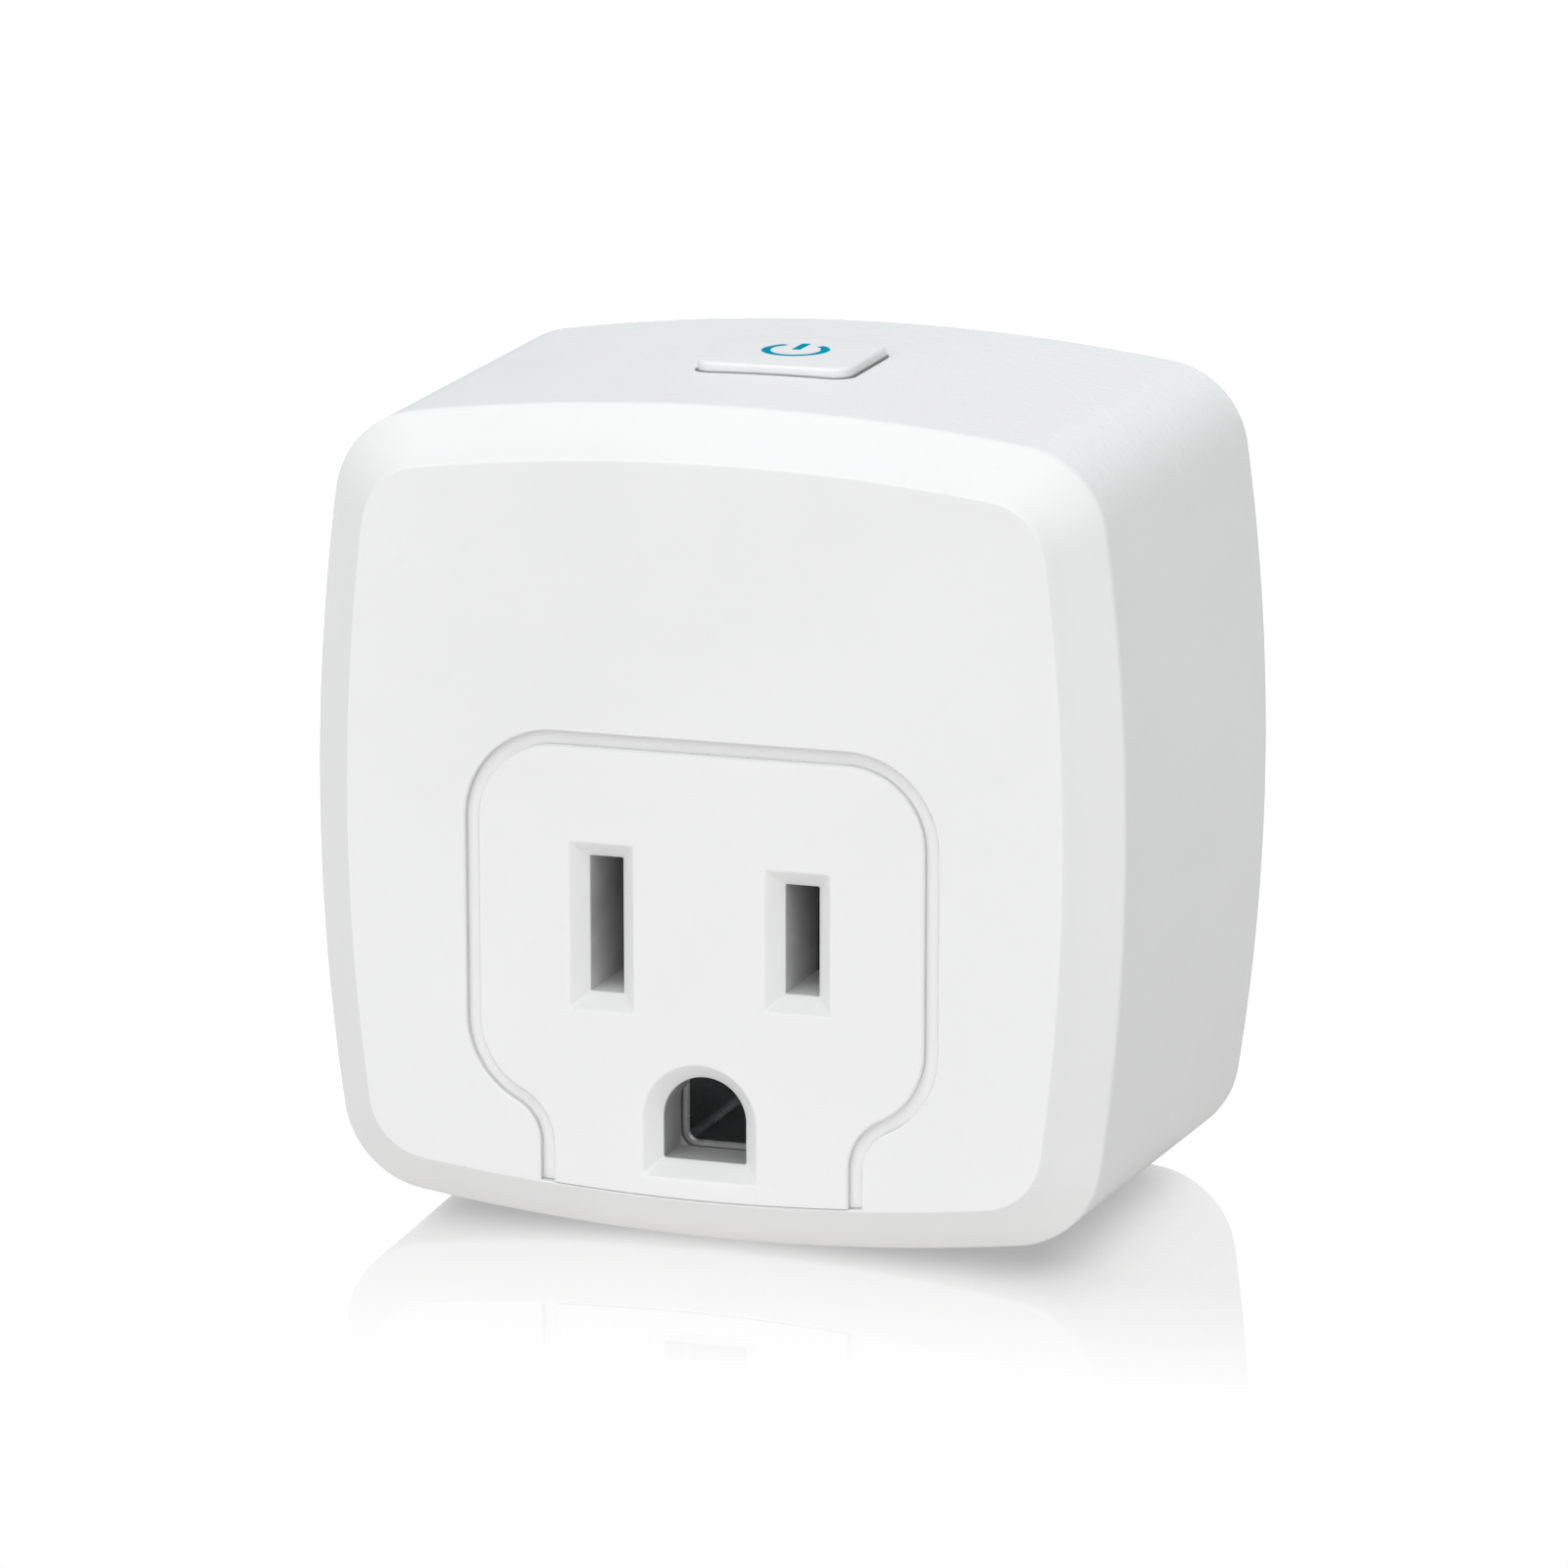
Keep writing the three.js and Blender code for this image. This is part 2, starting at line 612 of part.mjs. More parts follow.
function buttonCap() {
  const raised = common(
    prismZ(roundedRect(BUTTON_HALF_X, BUTTON_HALF_Y, BUTTON_CORNER_R, 0, BUTTON_Y), CAP_BOTTOM, 30),
    outerForm(BUTTON_RAISE),
  );
  const flange = prismZ(
    roundedRect(BUTTON_HALF_X + 0.8, BUTTON_HALF_Y + 0.8, 2, 0, BUTTON_Y),
    CAP_BOTTOM,
    CAP_BOTTOM + 0.5,
  );
  const hollow = prismZ(
    roundedRect(BUTTON_HALF_X - 1, BUTTON_HALF_Y - 1, 0.8, 0, BUTTON_Y),
    CAP_BOTTOM - 1,
    GUIDE_TOP + SEAT,
  );
  return cut(join(raised, flange), hollow, ...symbolPrism(0.03, 25, 30));
}

function lightGuide() {
  const plate = prismZ(
    roundedRect(BUTTON_HALF_X - 1.1, BUTTON_HALF_Y - 1.1, 0.7, 0, BUTTON_Y),
    GUIDE_TOP - 0.8,
    GUIDE_TOP,
  );
  const actuator = rodZ(1.2, 0, BUTTON_Y, CAP_BOTTOM + 0.25, GUIDE_TOP - 0.5, 16);
  const risers = symbolPrism(0, GUIDE_TOP - 0.4, 30).map((riser) => common(riser, outerForm(BUTTON_RAISE)));
  return join(plate, actuator, ...risers);
}

place('button_cap', buttonCap(), 'white');
place('button_light_guide', lightGuide(), 'tint');

const ON_BOARD = CONTROL_BOARD.top + SEAT;
const SWITCH_TOP = 22.6;

function switchBody() {
  const body = box([-3, 3], [BUTTON_Y - 3, BUTTON_Y + 3], [ON_BOARD, SWITCH_TOP]);
  return cut(body, rodZ(1.75, 0, BUTTON_Y, 20.7, 24));
}

place('switch_body', switchBody(), 'black');
place('switch_plunger', rodZ(1.6, 0, BUTTON_Y, 21.2, CAP_BOTTOM + 0.2), 'white');

// ---- Control board with the radio module, the lamp and the pin header -----------------------------------

const HEADER_X = [-13, -11, -9, -7];
const HEADER_Z = 17.6;
const HEADER_Y = -11;
const PIN_HALF = 0.32;

function around(at, margin = PIN_HALF) {
  return [at - margin, at + margin];
}

function controlBoard() {
  const plate = box([-15.6, 15.6], [-29, POWER_BOARD.front - 0.15], [CONTROL_BOARD.bottom, CONTROL_BOARD.top]);
  const holes = HEADER_X.map((x) => box(around(x, 0.4), around(HEADER_Y, 0.4), [18, 21]));
  return cut(plate, ...holes);
}

function boardHeader() {
  const strip = box([-14, -6], [-12.2, POWER_BOARD.front - SEAT], [16.4, CONTROL_BOARD.bottom - SEAT]);
  const pins = HEADER_X.flatMap((x) => [
    box(around(x), [-10, POWER_BOARD.back + 0.8], around(HEADER_Z)),
    box(around(x), around(HEADER_Y), [18, CONTROL_BOARD.top + 0.8]),
  ]);
  return join(strip, ...pins);
}

place('control_board', controlBoard(), 'board');
place('board_header', boardHeader(), 'black');
place('radio_module', box([-8, 8], [-28.8, -19], [ON_BOARD, ON_BOARD + 0.8]), 'board');
place('radio_shield', box([-4.5, 7.2], [-28, -19.8], [ON_BOARD + 0.83, ON_BOARD + 2.7]), 'tin');
place('status_led', box([3.6, 5.2], around(BUTTON_Y, 0.4), [ON_BOARD, ON_BOARD + 0.7]), 'yellow');

// ---- Relay ------------------------------------------------------------------------------------------

const RELAY = { left: -22.3, right: -4.1, bottom: 5.8, top: 16, front: -24.9, back: -9.65 };
const RELAY_Z = (RELAY.bottom + RELAY.top) / 2;
const CORE_X = -15.5;
const HINGE = { x: -20, y: -20.85 };
const CONTACT_X = -9.2;

function relayCase() {
  const wall = 0.8;
  const shell = box([RELAY.left, RELAY.right], [RELAY.front, RELAY.back], [RELAY.bottom, RELAY.top]);
  const hollow = box(
    [RELAY.left + wall, RELAY.right - wall],
    [RELAY.front + wall, RELAY.back + 1],
    [RELAY.bottom + wall, RELAY.top - wall],
  );
  return cut(shell, hollow);
}

function relayBase() {
  const plate = box([-21.4, -5], [-11.65, RELAY.back - 0.1], [6.7, 15.1]);
  return cut(plate, box([-7.3, -6.5], [-13, -8], around(RELAY_Z, 1.7)));
}

// L-shaped iron yoke with the round core standing on its foot.
function relayYoke() {
  const back = box([-20.5, -19.5], [-20.65, -11.75], around(RELAY_Z, 3));
  const foot = box([-20.5, -13.5], [-12.75, -11.75], around(RELAY_Z, 3));
  return join(back, foot, rodY(1.2, CORE_X, RELAY_Z, -20.42, -12));
}

function relayBobbin() {
  const spool = join(
    rodY(3.5, CORE_X, RELAY_Z, -13.5, -12.9),
    rodY(3.5, CORE_X, RELAY_Z, -19.9, -19.3),
    rodY(1.65, CORE_X, RELAY_Z, -19.6, -13.2, 16),
  );
  return cut(spool, rodY(1.35, CORE_X, RELAY_Z, -21, -12, 16));
}

function relayCoil() {
  const wound = rodY(3.2, CORE_X, RELAY_Z, -19.2, -13.6);
  return cut(wound, rodY(1.75, CORE_X, RELAY_Z, -21, -12, 16));
}

function fixedContact() {
  const post = box([-7.2, -6.6], [-19.5, POWER_BOARD.back + 0.6], around(RELAY_Z, 1.5));
  const arm = box([-10.6, -6.6], [-19.5, -18.9], around(RELAY_Z, 1.5));
  return join(post, arm, rodY(1.1, CONTACT_X, RELAY_Z, -19.95, -19.2, 16));
}

function movingContact() {
  const spring = box([-19, -8], [HINGE.y - 1.3, HINGE.y - 0.95], around(RELAY_Z, 1.5));
  return join(spring, rodY(1.1, CONTACT_X, RELAY_Z, HINGE.y - 1, HINGE.y, 16));
}

place('relay_case', relayCase(), 'blue');
place('relay_base', relayBase(), 'black');
place('relay_yoke', relayYoke(), 'steel');
place('relay_bobbin', relayBobbin(), 'grey');
place('relay_coil', relayCoil(), 'copper');
place('relay_fixed_contact', fixedContact(), 'copper');
place('relay_armature', box([-20.5, -11.9], [HINGE.y - 0.9, HINGE.y], around(RELAY_Z, 3)), 'steel');
place('relay_moving_contact', movingContact(), 'copper');

// ---- Power board and the parts on it -------------------------------------------------------------------

function powerBoard() {
  const layer = [POWER_BOARD.front, POWER_BOARD.back];
  const plate = join(
    box([-23.9, 23.9], layer, [-15.9, 15.9]),
    box([-15.9, 15.9], layer, [-23.3, 23.3]),
  );
  const through = [-13, -5];
  const holes = [
    ...[NEUTRAL_X, LINE_X].flatMap((x) => [
      box(around(x, 0.9), through, [PIN_Z + 0.8, PIN_Z + 3]),
      box(around(x, 0.5), through, [PIN_Z - 3.4, PIN_Z - 1.2]),
    ]),
    box([-2.2, 2.2], through, [GROUND_Z - 0.7, GROUND_Z + 0.7]),
    box([-7.4, -6.4], through, around(RELAY_Z, 1.7)),
    ...HEADER_X.map((x) => box(around(x, 0.4), through, around(HEADER_Z, 0.4))),
  ];
  return cut(plate, ...holes);
}

const ON_POWER = POWER_BOARD.front - SEAT;
const UNDER_POWER = POWER_BOARD.back + SEAT;

// A can with a rolled groove near its open end, standing on the board and pointing forwards.
function capacitorCan(radius, height, x, z) {
  const profile = [
    [0, 0],
    [radius, 0],
    [radius, 1.2],
    [radius - 0.35, 1.6],
    [radius, 2],
    [radius, height - 0.5],
    [radius - 0.5, height],
    [0, height],
  ].map(([r, y]) => new THREE.Vector2(r, y));
  const can = new THREE.LatheGeometry(profile, 24).rotateX(Math.PI);
  return can.translate(x, ON_POWER, z);
}

function drumChoke(x, z) {
  const profile = [[0, 0], [3.6, 0], [3.6, 1], [2.7, 1], [2.7, 7], [3.6, 7], [3.6, 8], [0, 8]];
  const drum = new THREE.LatheGeometry(profile.map(([r, y]) => new THREE.Vector2(r, y)), 24).rotateX(Math.PI);
  return drum.translate(x, ON_POWER, z);
}

place('power_board', powerBoard(), 'board');
place('bulk_capacitor', capacitorCan(4.8, 16, 1.6, 11.4), 'black');
place('output_capacitor', capacitorCan(3.2, 11, 18.2, -9), 'blue');
place('choke', drumChoke(14, 15), 'copper');
place('film_capacitor', box([8, 21], [ON_POWER - 11, ON_POWER], [5.8, 10.8]), 'yellow');
place('varistor', rodZ(4.8, -18.2, ON_POWER - 5, -0.6, 3.6), 'blue');
place('fuse', rodY(4, -18, -8.6, ON_POWER - 8, ON_POWER), 'black');
place('rectifier', box([9, 13.7], [UNDER_POWER, UNDER_POWER + 2.4], [8, 11.8]), 'black');
place('converter_chip', box([12, 17], [UNDER_POWER, UNDER_POWER + 1.6], [-1, 3]), 'black');
place('relay_diode', box([-16, -11.7], [UNDER_POWER, UNDER_POWER + 2.2], [2, 4.6]), 'black');

export default plug;
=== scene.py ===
"""Looks for the smart plug: fine shells, procedural materials, studio light and camera.

Lengths are in millimetres while pieces are drawn and become metres when a mesh is built.
X is right seen from the front, Y goes into the wall, Z is up. The back face is at y = 0.
"""

import json
import math

import bmesh
import bpy
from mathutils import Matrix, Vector
from mathutils.geometry import tessellate_polygon


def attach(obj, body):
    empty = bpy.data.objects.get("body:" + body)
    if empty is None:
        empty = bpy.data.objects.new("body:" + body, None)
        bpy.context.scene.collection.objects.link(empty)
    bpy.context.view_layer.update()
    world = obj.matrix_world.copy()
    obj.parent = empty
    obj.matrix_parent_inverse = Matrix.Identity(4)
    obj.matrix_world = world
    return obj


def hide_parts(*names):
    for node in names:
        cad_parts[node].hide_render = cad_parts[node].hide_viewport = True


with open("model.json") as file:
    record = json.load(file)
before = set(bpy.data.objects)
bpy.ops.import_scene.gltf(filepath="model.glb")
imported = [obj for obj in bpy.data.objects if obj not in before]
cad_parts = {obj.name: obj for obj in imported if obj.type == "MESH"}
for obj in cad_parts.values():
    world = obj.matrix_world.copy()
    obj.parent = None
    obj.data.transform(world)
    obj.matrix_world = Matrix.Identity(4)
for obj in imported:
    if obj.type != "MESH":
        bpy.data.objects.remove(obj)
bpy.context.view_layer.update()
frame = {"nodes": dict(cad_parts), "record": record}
NODES = frame["nodes"]
MM = 0.001

# ---- Dimensions shared with the CAD part ---------------------------------------------

DEPTH = 32.5
FRONT_HALF, BACK_HALF, FACE_HALF = 26.2, 27.1, 23.1
SIDE_BOW = 113.8
CORNER_R, FACE_CORNER_R = 6.0, 4.0
RIM_Y = -29.55
FACE_Y = -DEPTH
GROOVE, GROOVE_FLOOR_Y = 0.87, -31.90
FLANGE_LIP, FLANGE_BACK = 1.6, -30.3
PANEL_HALF, PANEL_TOP, PANEL_R, SHOULDER_Z = 14.43, 5.17, 5.0, -12.38
NECK_HALF, NECK_FILLET = 9.6, 3.7
PIN_Z, GROUND_Z = -6.13, -18.03
LINE_X, NEUTRAL_X = 6.35, -6.35
SLOT_HALF = 1.09
NEUTRAL_TALL, LINE_TALL = 4.3, 3.45
GROUND_R, GROUND_DROP = 2.69, 2.65
ENTRY_BEVEL = 1.02
NOSE_Y = -31.35
COVER = 2.0
BOSS_AT = 19.7
BUTTON_X, BUTTON_HALF_Y, BUTTON_Y, BUTTON_R = 5.05, 4.5, -14.75, 1.3
BUTTON_GAP, BUTTON_RAISE = 0.2, 0.64
SYMBOL_Y, RING_R, STROKE, RING_GAP, BAR_LENGTH = -14.1, 1.87, 0.54, 0.65, 2.2
BLADE_THICK, BLADE_LENGTH = 1.5, 16.5
NEUTRAL_BLADE_HALF, LINE_BLADE_HALF = 3.95, 3.175
SHOULDER_FRONT, SHOULDER_BACK = -3.23, -2.03    # shoulder of each blade, inside the rear cover
CAVITY_HALF, CAVITY_R = 25.1, 4.0               # hollow of the housing at its open back
FLANGE_GAP = 0.03                               # between the panel's flange and the housing


# ---- Mesh building ---------------------------------------------------------------------

class Shell:
    """Collects rings of points and the faces between them, then makes one mesh object."""

    def __init__(self):
        self.points = []
        self.faces = []

    def ring(self, coords):
        first = len(self.points)
        self.points.extend(coords)
        return list(range(first, len(self.points)))

    def strip(self, a, b, closed=True):
        count = len(a)
        for i in range(count if closed else count - 1):
            j = (i + 1) % count
            self.faces.append((a[i], a[j], b[j], b[i]))

    def strips(self, rings, closed=True):
        for a, b in zip(rings, rings[1:]):
            self.strip(a, b, closed)

    def flat(self, *loops):
        """Fills the area inside the first loop and outside the others."""
        ids = [i for loop in loops for i in loop]
        lines = [[Vector(self.points[i]) for i in loop] for loop in loops]
        for a, b, c in tessellate_polygon(lines):
            self.faces.append((ids[a], ids[b], ids[c]))

    def build(self, name, material, body="plug", nodes=(), sharp=32):
        mesh = bpy.data.meshes.new(name)
        mesh.from_pydata([[c * MM for c in p] for p in self.points], [], self.faces)
        piece = bpy.data.objects.new(name, mesh)
        bpy.context.scene.collection.objects.link(piece)
        finish_mesh(piece, sharp)
        mesh.materials.append(material)
        if body:
            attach(piece, body)
        if nodes:
            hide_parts(*nodes)
        return piece


def finish_mesh(piece, sharp):
    """Welds, turns faces outwards, shades smooth and marks the sharp edges."""
    bm = bmesh.new()
    bm.from_mesh(piece.data)
    bmesh.ops.remove_doubles(bm, verts=bm.verts, dist=1e-7)
    bmesh.ops.dissolve_degenerate(bm, edges=bm.edges, dist=1e-7)
    bmesh.ops.recalc_face_normals(bm, faces=bm.faces)
    limit = math.radians(sharp)
    for face in bm.faces:
        face.smooth = True
    for edge in bm.edges:
        if len(edge.link_faces) == 2:
            edge.smooth = edge.calc_face_angle() < limit
    bm.to_mesh(piece.data)
    bm.free()


def weighted_normals(piece):
    modifier = piece.modifiers.new("normals", "WEIGHTED_NORMAL")
    modifier.keep_sharp = True
    modifier.weight = 100


def carve(piece, *tools):
    """Cuts the tools out of the piece for good."""
    for tool in tools:
        modifier = piece.modifiers.new("cut", "BOOLEAN")
        modifier.operation = "DIFFERENCE"
        modifier.solver = "EXACT"
        modifier.object = tool
        graph = bpy.context.evaluated_depsgraph_get()
        result = bpy.data.meshes.new_from_object(piece.evaluated_get(graph))
        piece.modifiers.clear()
        piece.data = result
        bpy.data.objects.remove(tool)


def lerp(a, b, t):
    return tuple(x + (y - x) * t for x, y in zip(a, b))


def rounded_profile(profile, steps=5):
    """Rounds the inner corners of a profile. Each point is (values, fillet length)."""
    result = [profile[0][0]]
    for i in range(1, len(profile) - 1):
        point, size = profile[i]
        if not size:
            result.append(point)
            continue
        before, after = profile[i - 1][0], profile[i + 1][0]
        start = lerp(point, before, size / max(math.dist(point, before), 1e-9))
        end = lerp(point, after, size / max(math.dist(point, after), 1e-9))
        for k in range(steps + 1):
            t = k / steps
            result.append(lerp(lerp(start, point, t), lerp(point, end, t), t))
    result.append(profile[-1][0])
    return result


# ---- Outlines, each a list of (x, z) --------------------------------------------------

SIDE_STEPS, CORNER_STEPS = 40, 20
NECK_STOP = NECK_HALF + GROOVE + 0.09


def bowed_square(half, radius):
    """Square with bowed sides. Its bottom side has vertices exactly at the neck's edges."""
    big = SIDE_BOW + half
    reach = big - radius
    centre = (math.sqrt(2 * reach ** 2 - SIDE_BOW ** 2) - SIDE_BOW) / 2
    tilt = math.atan2(centre, centre + SIDE_BOW)
    stop = math.asin(NECK_STOP / big)
    even = [tilt * (2 * i / SIDE_STEPS - 1) for i in range(SIDE_STEPS)]
    third = SIDE_STEPS // 4
    split = (
        [-tilt + (tilt - stop) * i / third for i in range(third)]
        + [-stop + 2 * stop * i / (2 * third) for i in range(2 * third)]
        + [stop + (tilt - stop) * i / third for i in range(third)]
    )
    points = []
    for quarter in range(4):
        angles = split if quarter == 3 else even
        row = [(-SIDE_BOW + big * math.cos(a), big * math.sin(a)) for a in angles]
        for i in range(CORNER_STEPS):
            a = tilt + (math.pi / 2 - 2 * tilt) * i / CORNER_STEPS
            row.append((centre + radius * math.cos(a), centre + radius * math.sin(a)))
        c, s = [(1, 0), (0, 1), (-1, 0), (0, -1)][quarter]
        points.extend((x * c - y * s, x * s + y * c) for x, y in row)
    return points


BOTTOM_START = 3 * (SIDE_STEPS + CORNER_STEPS)
NECK_LEFT = BOTTOM_START + SIDE_STEPS // 4
NECK_RIGHT = NECK_LEFT + 2 * (SIDE_STEPS // 4)


def bottom_z(half, x):
    return SIDE_BOW - math.sqrt((SIDE_BOW + half) ** 2 - x ** 2)


def arc(cx, cz, radius, start, end, steps):
    return [
        (cx + radius * math.cos(start + (end - start) * i / steps),
         cz + radius * math.sin(start + (end - start) * i / steps))
        for i in range(steps + 1)
    ]


def panel_path(margin, half):
    """The panel's outline from the neck's lower right end, round the top, to its lower left end."""
    side = PANEL_HALF + margin
    neck = NECK_HALF + margin
    turn = PANEL_R + margin
    fillet = NECK_FILLET - margin
    corner_x = side - turn
    corner_z = PANEL_TOP + margin - turn
    fillet_x = neck + fillet
    drop = math.sqrt((turn + fillet) ** 2 - (fillet_x - corner_x) ** 2)
    fillet_z = SHOULDER_Z - drop
    lean = math.atan2(drop, fillet_x - corner_x)
    end_z = bottom_z(half, neck)
    right = [(neck, end_z)]
    right += [(neck, end_z + (fillet_z - end_z) * i / 4) for i in range(1, 4)]
    right += arc(fillet_x, fillet_z, fillet, math.pi, math.pi - lean, 12)
    right += arc(corner_x, SHOULDER_Z, turn, -lean, 0, 14)
    right += [(side, SHOULDER_Z + (corner_z - SHOULDER_Z) * i / 8) for i in range(1, 8)]
    right += arc(corner_x, corner_z, turn, 0, math.pi / 2, 20)
    return right + [(-x, z) for x, z in reversed(right)]


def panel_loop(margin, half, steps=20):
    """The same outline closed along the bevel's lower edge."""
    neck = NECK_HALF + margin
    xs = [-neck + 2 * neck * i / steps for i in range(1, steps)]
    return panel_path(margin, half) + [(x, bottom_z(half, x)) for x in xs]


def rounded_polygon(corners, radius, steps=6):
    """Rounds each corner of a convex counter-clockwise polygon with a circular arc."""
    points = []
    count = len(corners)
    for i, corner in enumerate(corners):
        here = Vector(corner)
        before = (Vector(corners[i - 1]) - here).normalized()
        after = (Vector(corners[(i + 1) % count]) - here).normalized()
        half_angle = before.angle(after) / 2
        reach = radius / math.tan(half_angle)
        centre = here + (before + after).normalized() * radius / math.sin(half_angle)
        start = here + before * reach - centre
        end = here + after * reach - centre
        a = math.atan2(start.y, start.x)
        b = math.atan2(end.y, end.x)
        b += 2 * math.pi * ((b < a) - (b - a > 2 * math.pi))
        points.extend(
            (centre.x + radius * math.cos(a + (b - a) * k / steps),
             centre.y + radius * math.sin(a + (b - a) * k / steps))
            for k in range(steps + 1)
        )
    return points


def rectangle(cx, cz, half_x, half_z, radius, steps=6):
    corners = [
        (cx - half_x, cz - half_z), (cx + half_x, cz - half_z),
        (cx + half_x, cz + half_z), (cx - half_x, cz + half_z),
    ]
    return rounded_polygon(corners, radius, steps)


def slot_outline(x, tall):
    def outline(margin):
        half_x, half_z = SLOT_HALF + margin, tall + margin
        return rectangle(x, PIN_Z, half_x, half_z, 0.1 + 0.1 * margin, 3)
    return outline


def softened(radius):
    """(inset, depth) steps of a quarter-round edge, from the face to the side."""
    return [
        (radius * (1 - k / 4) ** 2, radius * (1 - (1 - k / 4) ** 2))
        for k in range(5)
    ]


def ground_outline(margin):
    """The ground hole: round above, flat below with small corners."""
    radius = GROUND_R + margin
    small = 0.18 + 0.12 * margin
    top = arc(0, GROUND_Z, radius, 0, math.pi, 36)
    floor = GROUND_Z - GROUND_DROP - margin
    left = arc(-radius + small, floor + small, small, math.pi, 1.5 * math.pi, 4)
    right = arc(radius - small, floor + small, small, 1.5 * math.pi, 2 * math.pi, 4)
    return top + left + right


def circle(cx, cz, radius, steps=48):
    return arc(cx, cz, radius, 0, 2 * math.pi, steps)[:-1]


def at_y(outline, y):
    return [(x, y, z) for x, z in outline]


def half_at(y):
    return BACK_HALF + (BACK_HALF - FRONT_HALF) * y / -RIM_Y


# ---- Materials -------------------------------------------------------------------------

class Nodes:
    """Short calls for building a node tree."""

    def __init__(self, name):
        self.material = bpy.data.materials.new(name)
        self.material.use_nodes = True
        self.tree = self.material.node_tree
        self.shader = self.tree.nodes["Principled BSDF"]
        self.place = self.add("ShaderNodeTexCoord").outputs["Object"]

    def add(self, kind, **settings):
        node = self.tree.nodes.new(kind)
        for key, value in settings.items():
            if hasattr(node, key):
                setattr(node, key, value)
            else:
                self.set(node.inputs[key], value)
        return node

    def set(self, socket, value):
        if isinstance(value, bpy.types.NodeSocket):
            self.tree.links.new(value, socket)
        else:
            socket.default_value = value

    def shade(self, **values):
        for key, value in values.items():
            self.set(self.shader.inputs[key.replace("_", " ")], value)

    def noise(self, scale, detail=3.0, rough=0.5, place=None):
        node = self.add("ShaderNodeTexNoise", Scale=scale, Detail=detail, Roughness=rough)
        self.set(node.inputs["Vector"], place or self.place)
        return node.outputs["Fac"]

    def ramp(self, value, low, high, out_low, out_high, smooth=False):
        node = self.add("ShaderNodeMapRange")
        node.interpolation_type = "SMOOTHSTEP" if smooth else "LINEAR"
        for socket, item in zip(list(node.inputs)[:5], (value, low, high, out_low, out_high)):
            self.set(socket, item)
        return node.outputs["Result"]

    def mix(self, factor, a, b):
        node = self.add("ShaderNodeMix", data_type="RGBA")
        self.set(node.inputs["Factor"], factor)
        self.set(node.inputs[6], a)
        self.set(node.inputs[7], b)
        return node.outputs[2]

    def math(self, operation, a, b):
        node = self.add("ShaderNodeMath", operation=operation)
        self.set(node.inputs[0], a)
        self.set(node.inputs[1], b)
        return node.outputs[0]

    def axis(self, index):
        return self.add("ShaderNodeSeparateXYZ", Vector=self.place).outputs[index]

    def stretched(self, scale):
        node = self.add("ShaderNodeMapping")
        self.set(node.inputs["Vector"], self.place)
        node.inputs["Scale"].default_value = scale
        return node.outputs["Vector"]

    def bump(self, height, strength, distance, below=None):
        node = self.add("ShaderNodeBump", Strength=strength, Distance=distance)
        self.set(node.inputs["Height"], height)
        if below:
            self.set(node.inputs["Normal"], below)
        return node.outputs["Normal"]

    def edges(self, radius=0.00025):
        """1 on convex edges, 0 elsewhere."""
        bevel = self.add("ShaderNodeBevel", Radius=radius)
        bevel.samples = 4
        normal = self.add("ShaderNodeNewGeometry").outputs["Normal"]
        node = self.add("ShaderNodeVectorMath", operation="DOT_PRODUCT")
        self.set(node.inputs[0], bevel.outputs["Normal"])
        self.set(node.inputs[1], normal)
        return self.ramp(node.outputs["Value"], 0.995, 0.93, 0.0, 1.0)


def rgba(r, g, b):
    return (r, g, b, 1.0)


GROOVE_SHADE_END, GROOVE_SHADE_OFF = -0.0305, -0.0300    # where the groove's painted shade and painted light fade out
# painted light: the groove's floor is coloured whiter than the plastic
GROOVE_FLOOR_LIGHT = (0.985, 0.985, 0.983)
GROOVE_WALL_SHADE = 0.74                                   # painted shade on the groove's walls: the share of the plastic's colour they keep
FOOT_SHADE, FOOT_COLOUR = 0.65, (0.2, 0.2, 0.21)          # shade at the button's foot
FOOT_LOW, FOOT_HIGH = 0.00003, 0.00014                    # its height above the housing


def scaled(colour, factor):
    return rgba(*(c * factor for c in colour[:3]))


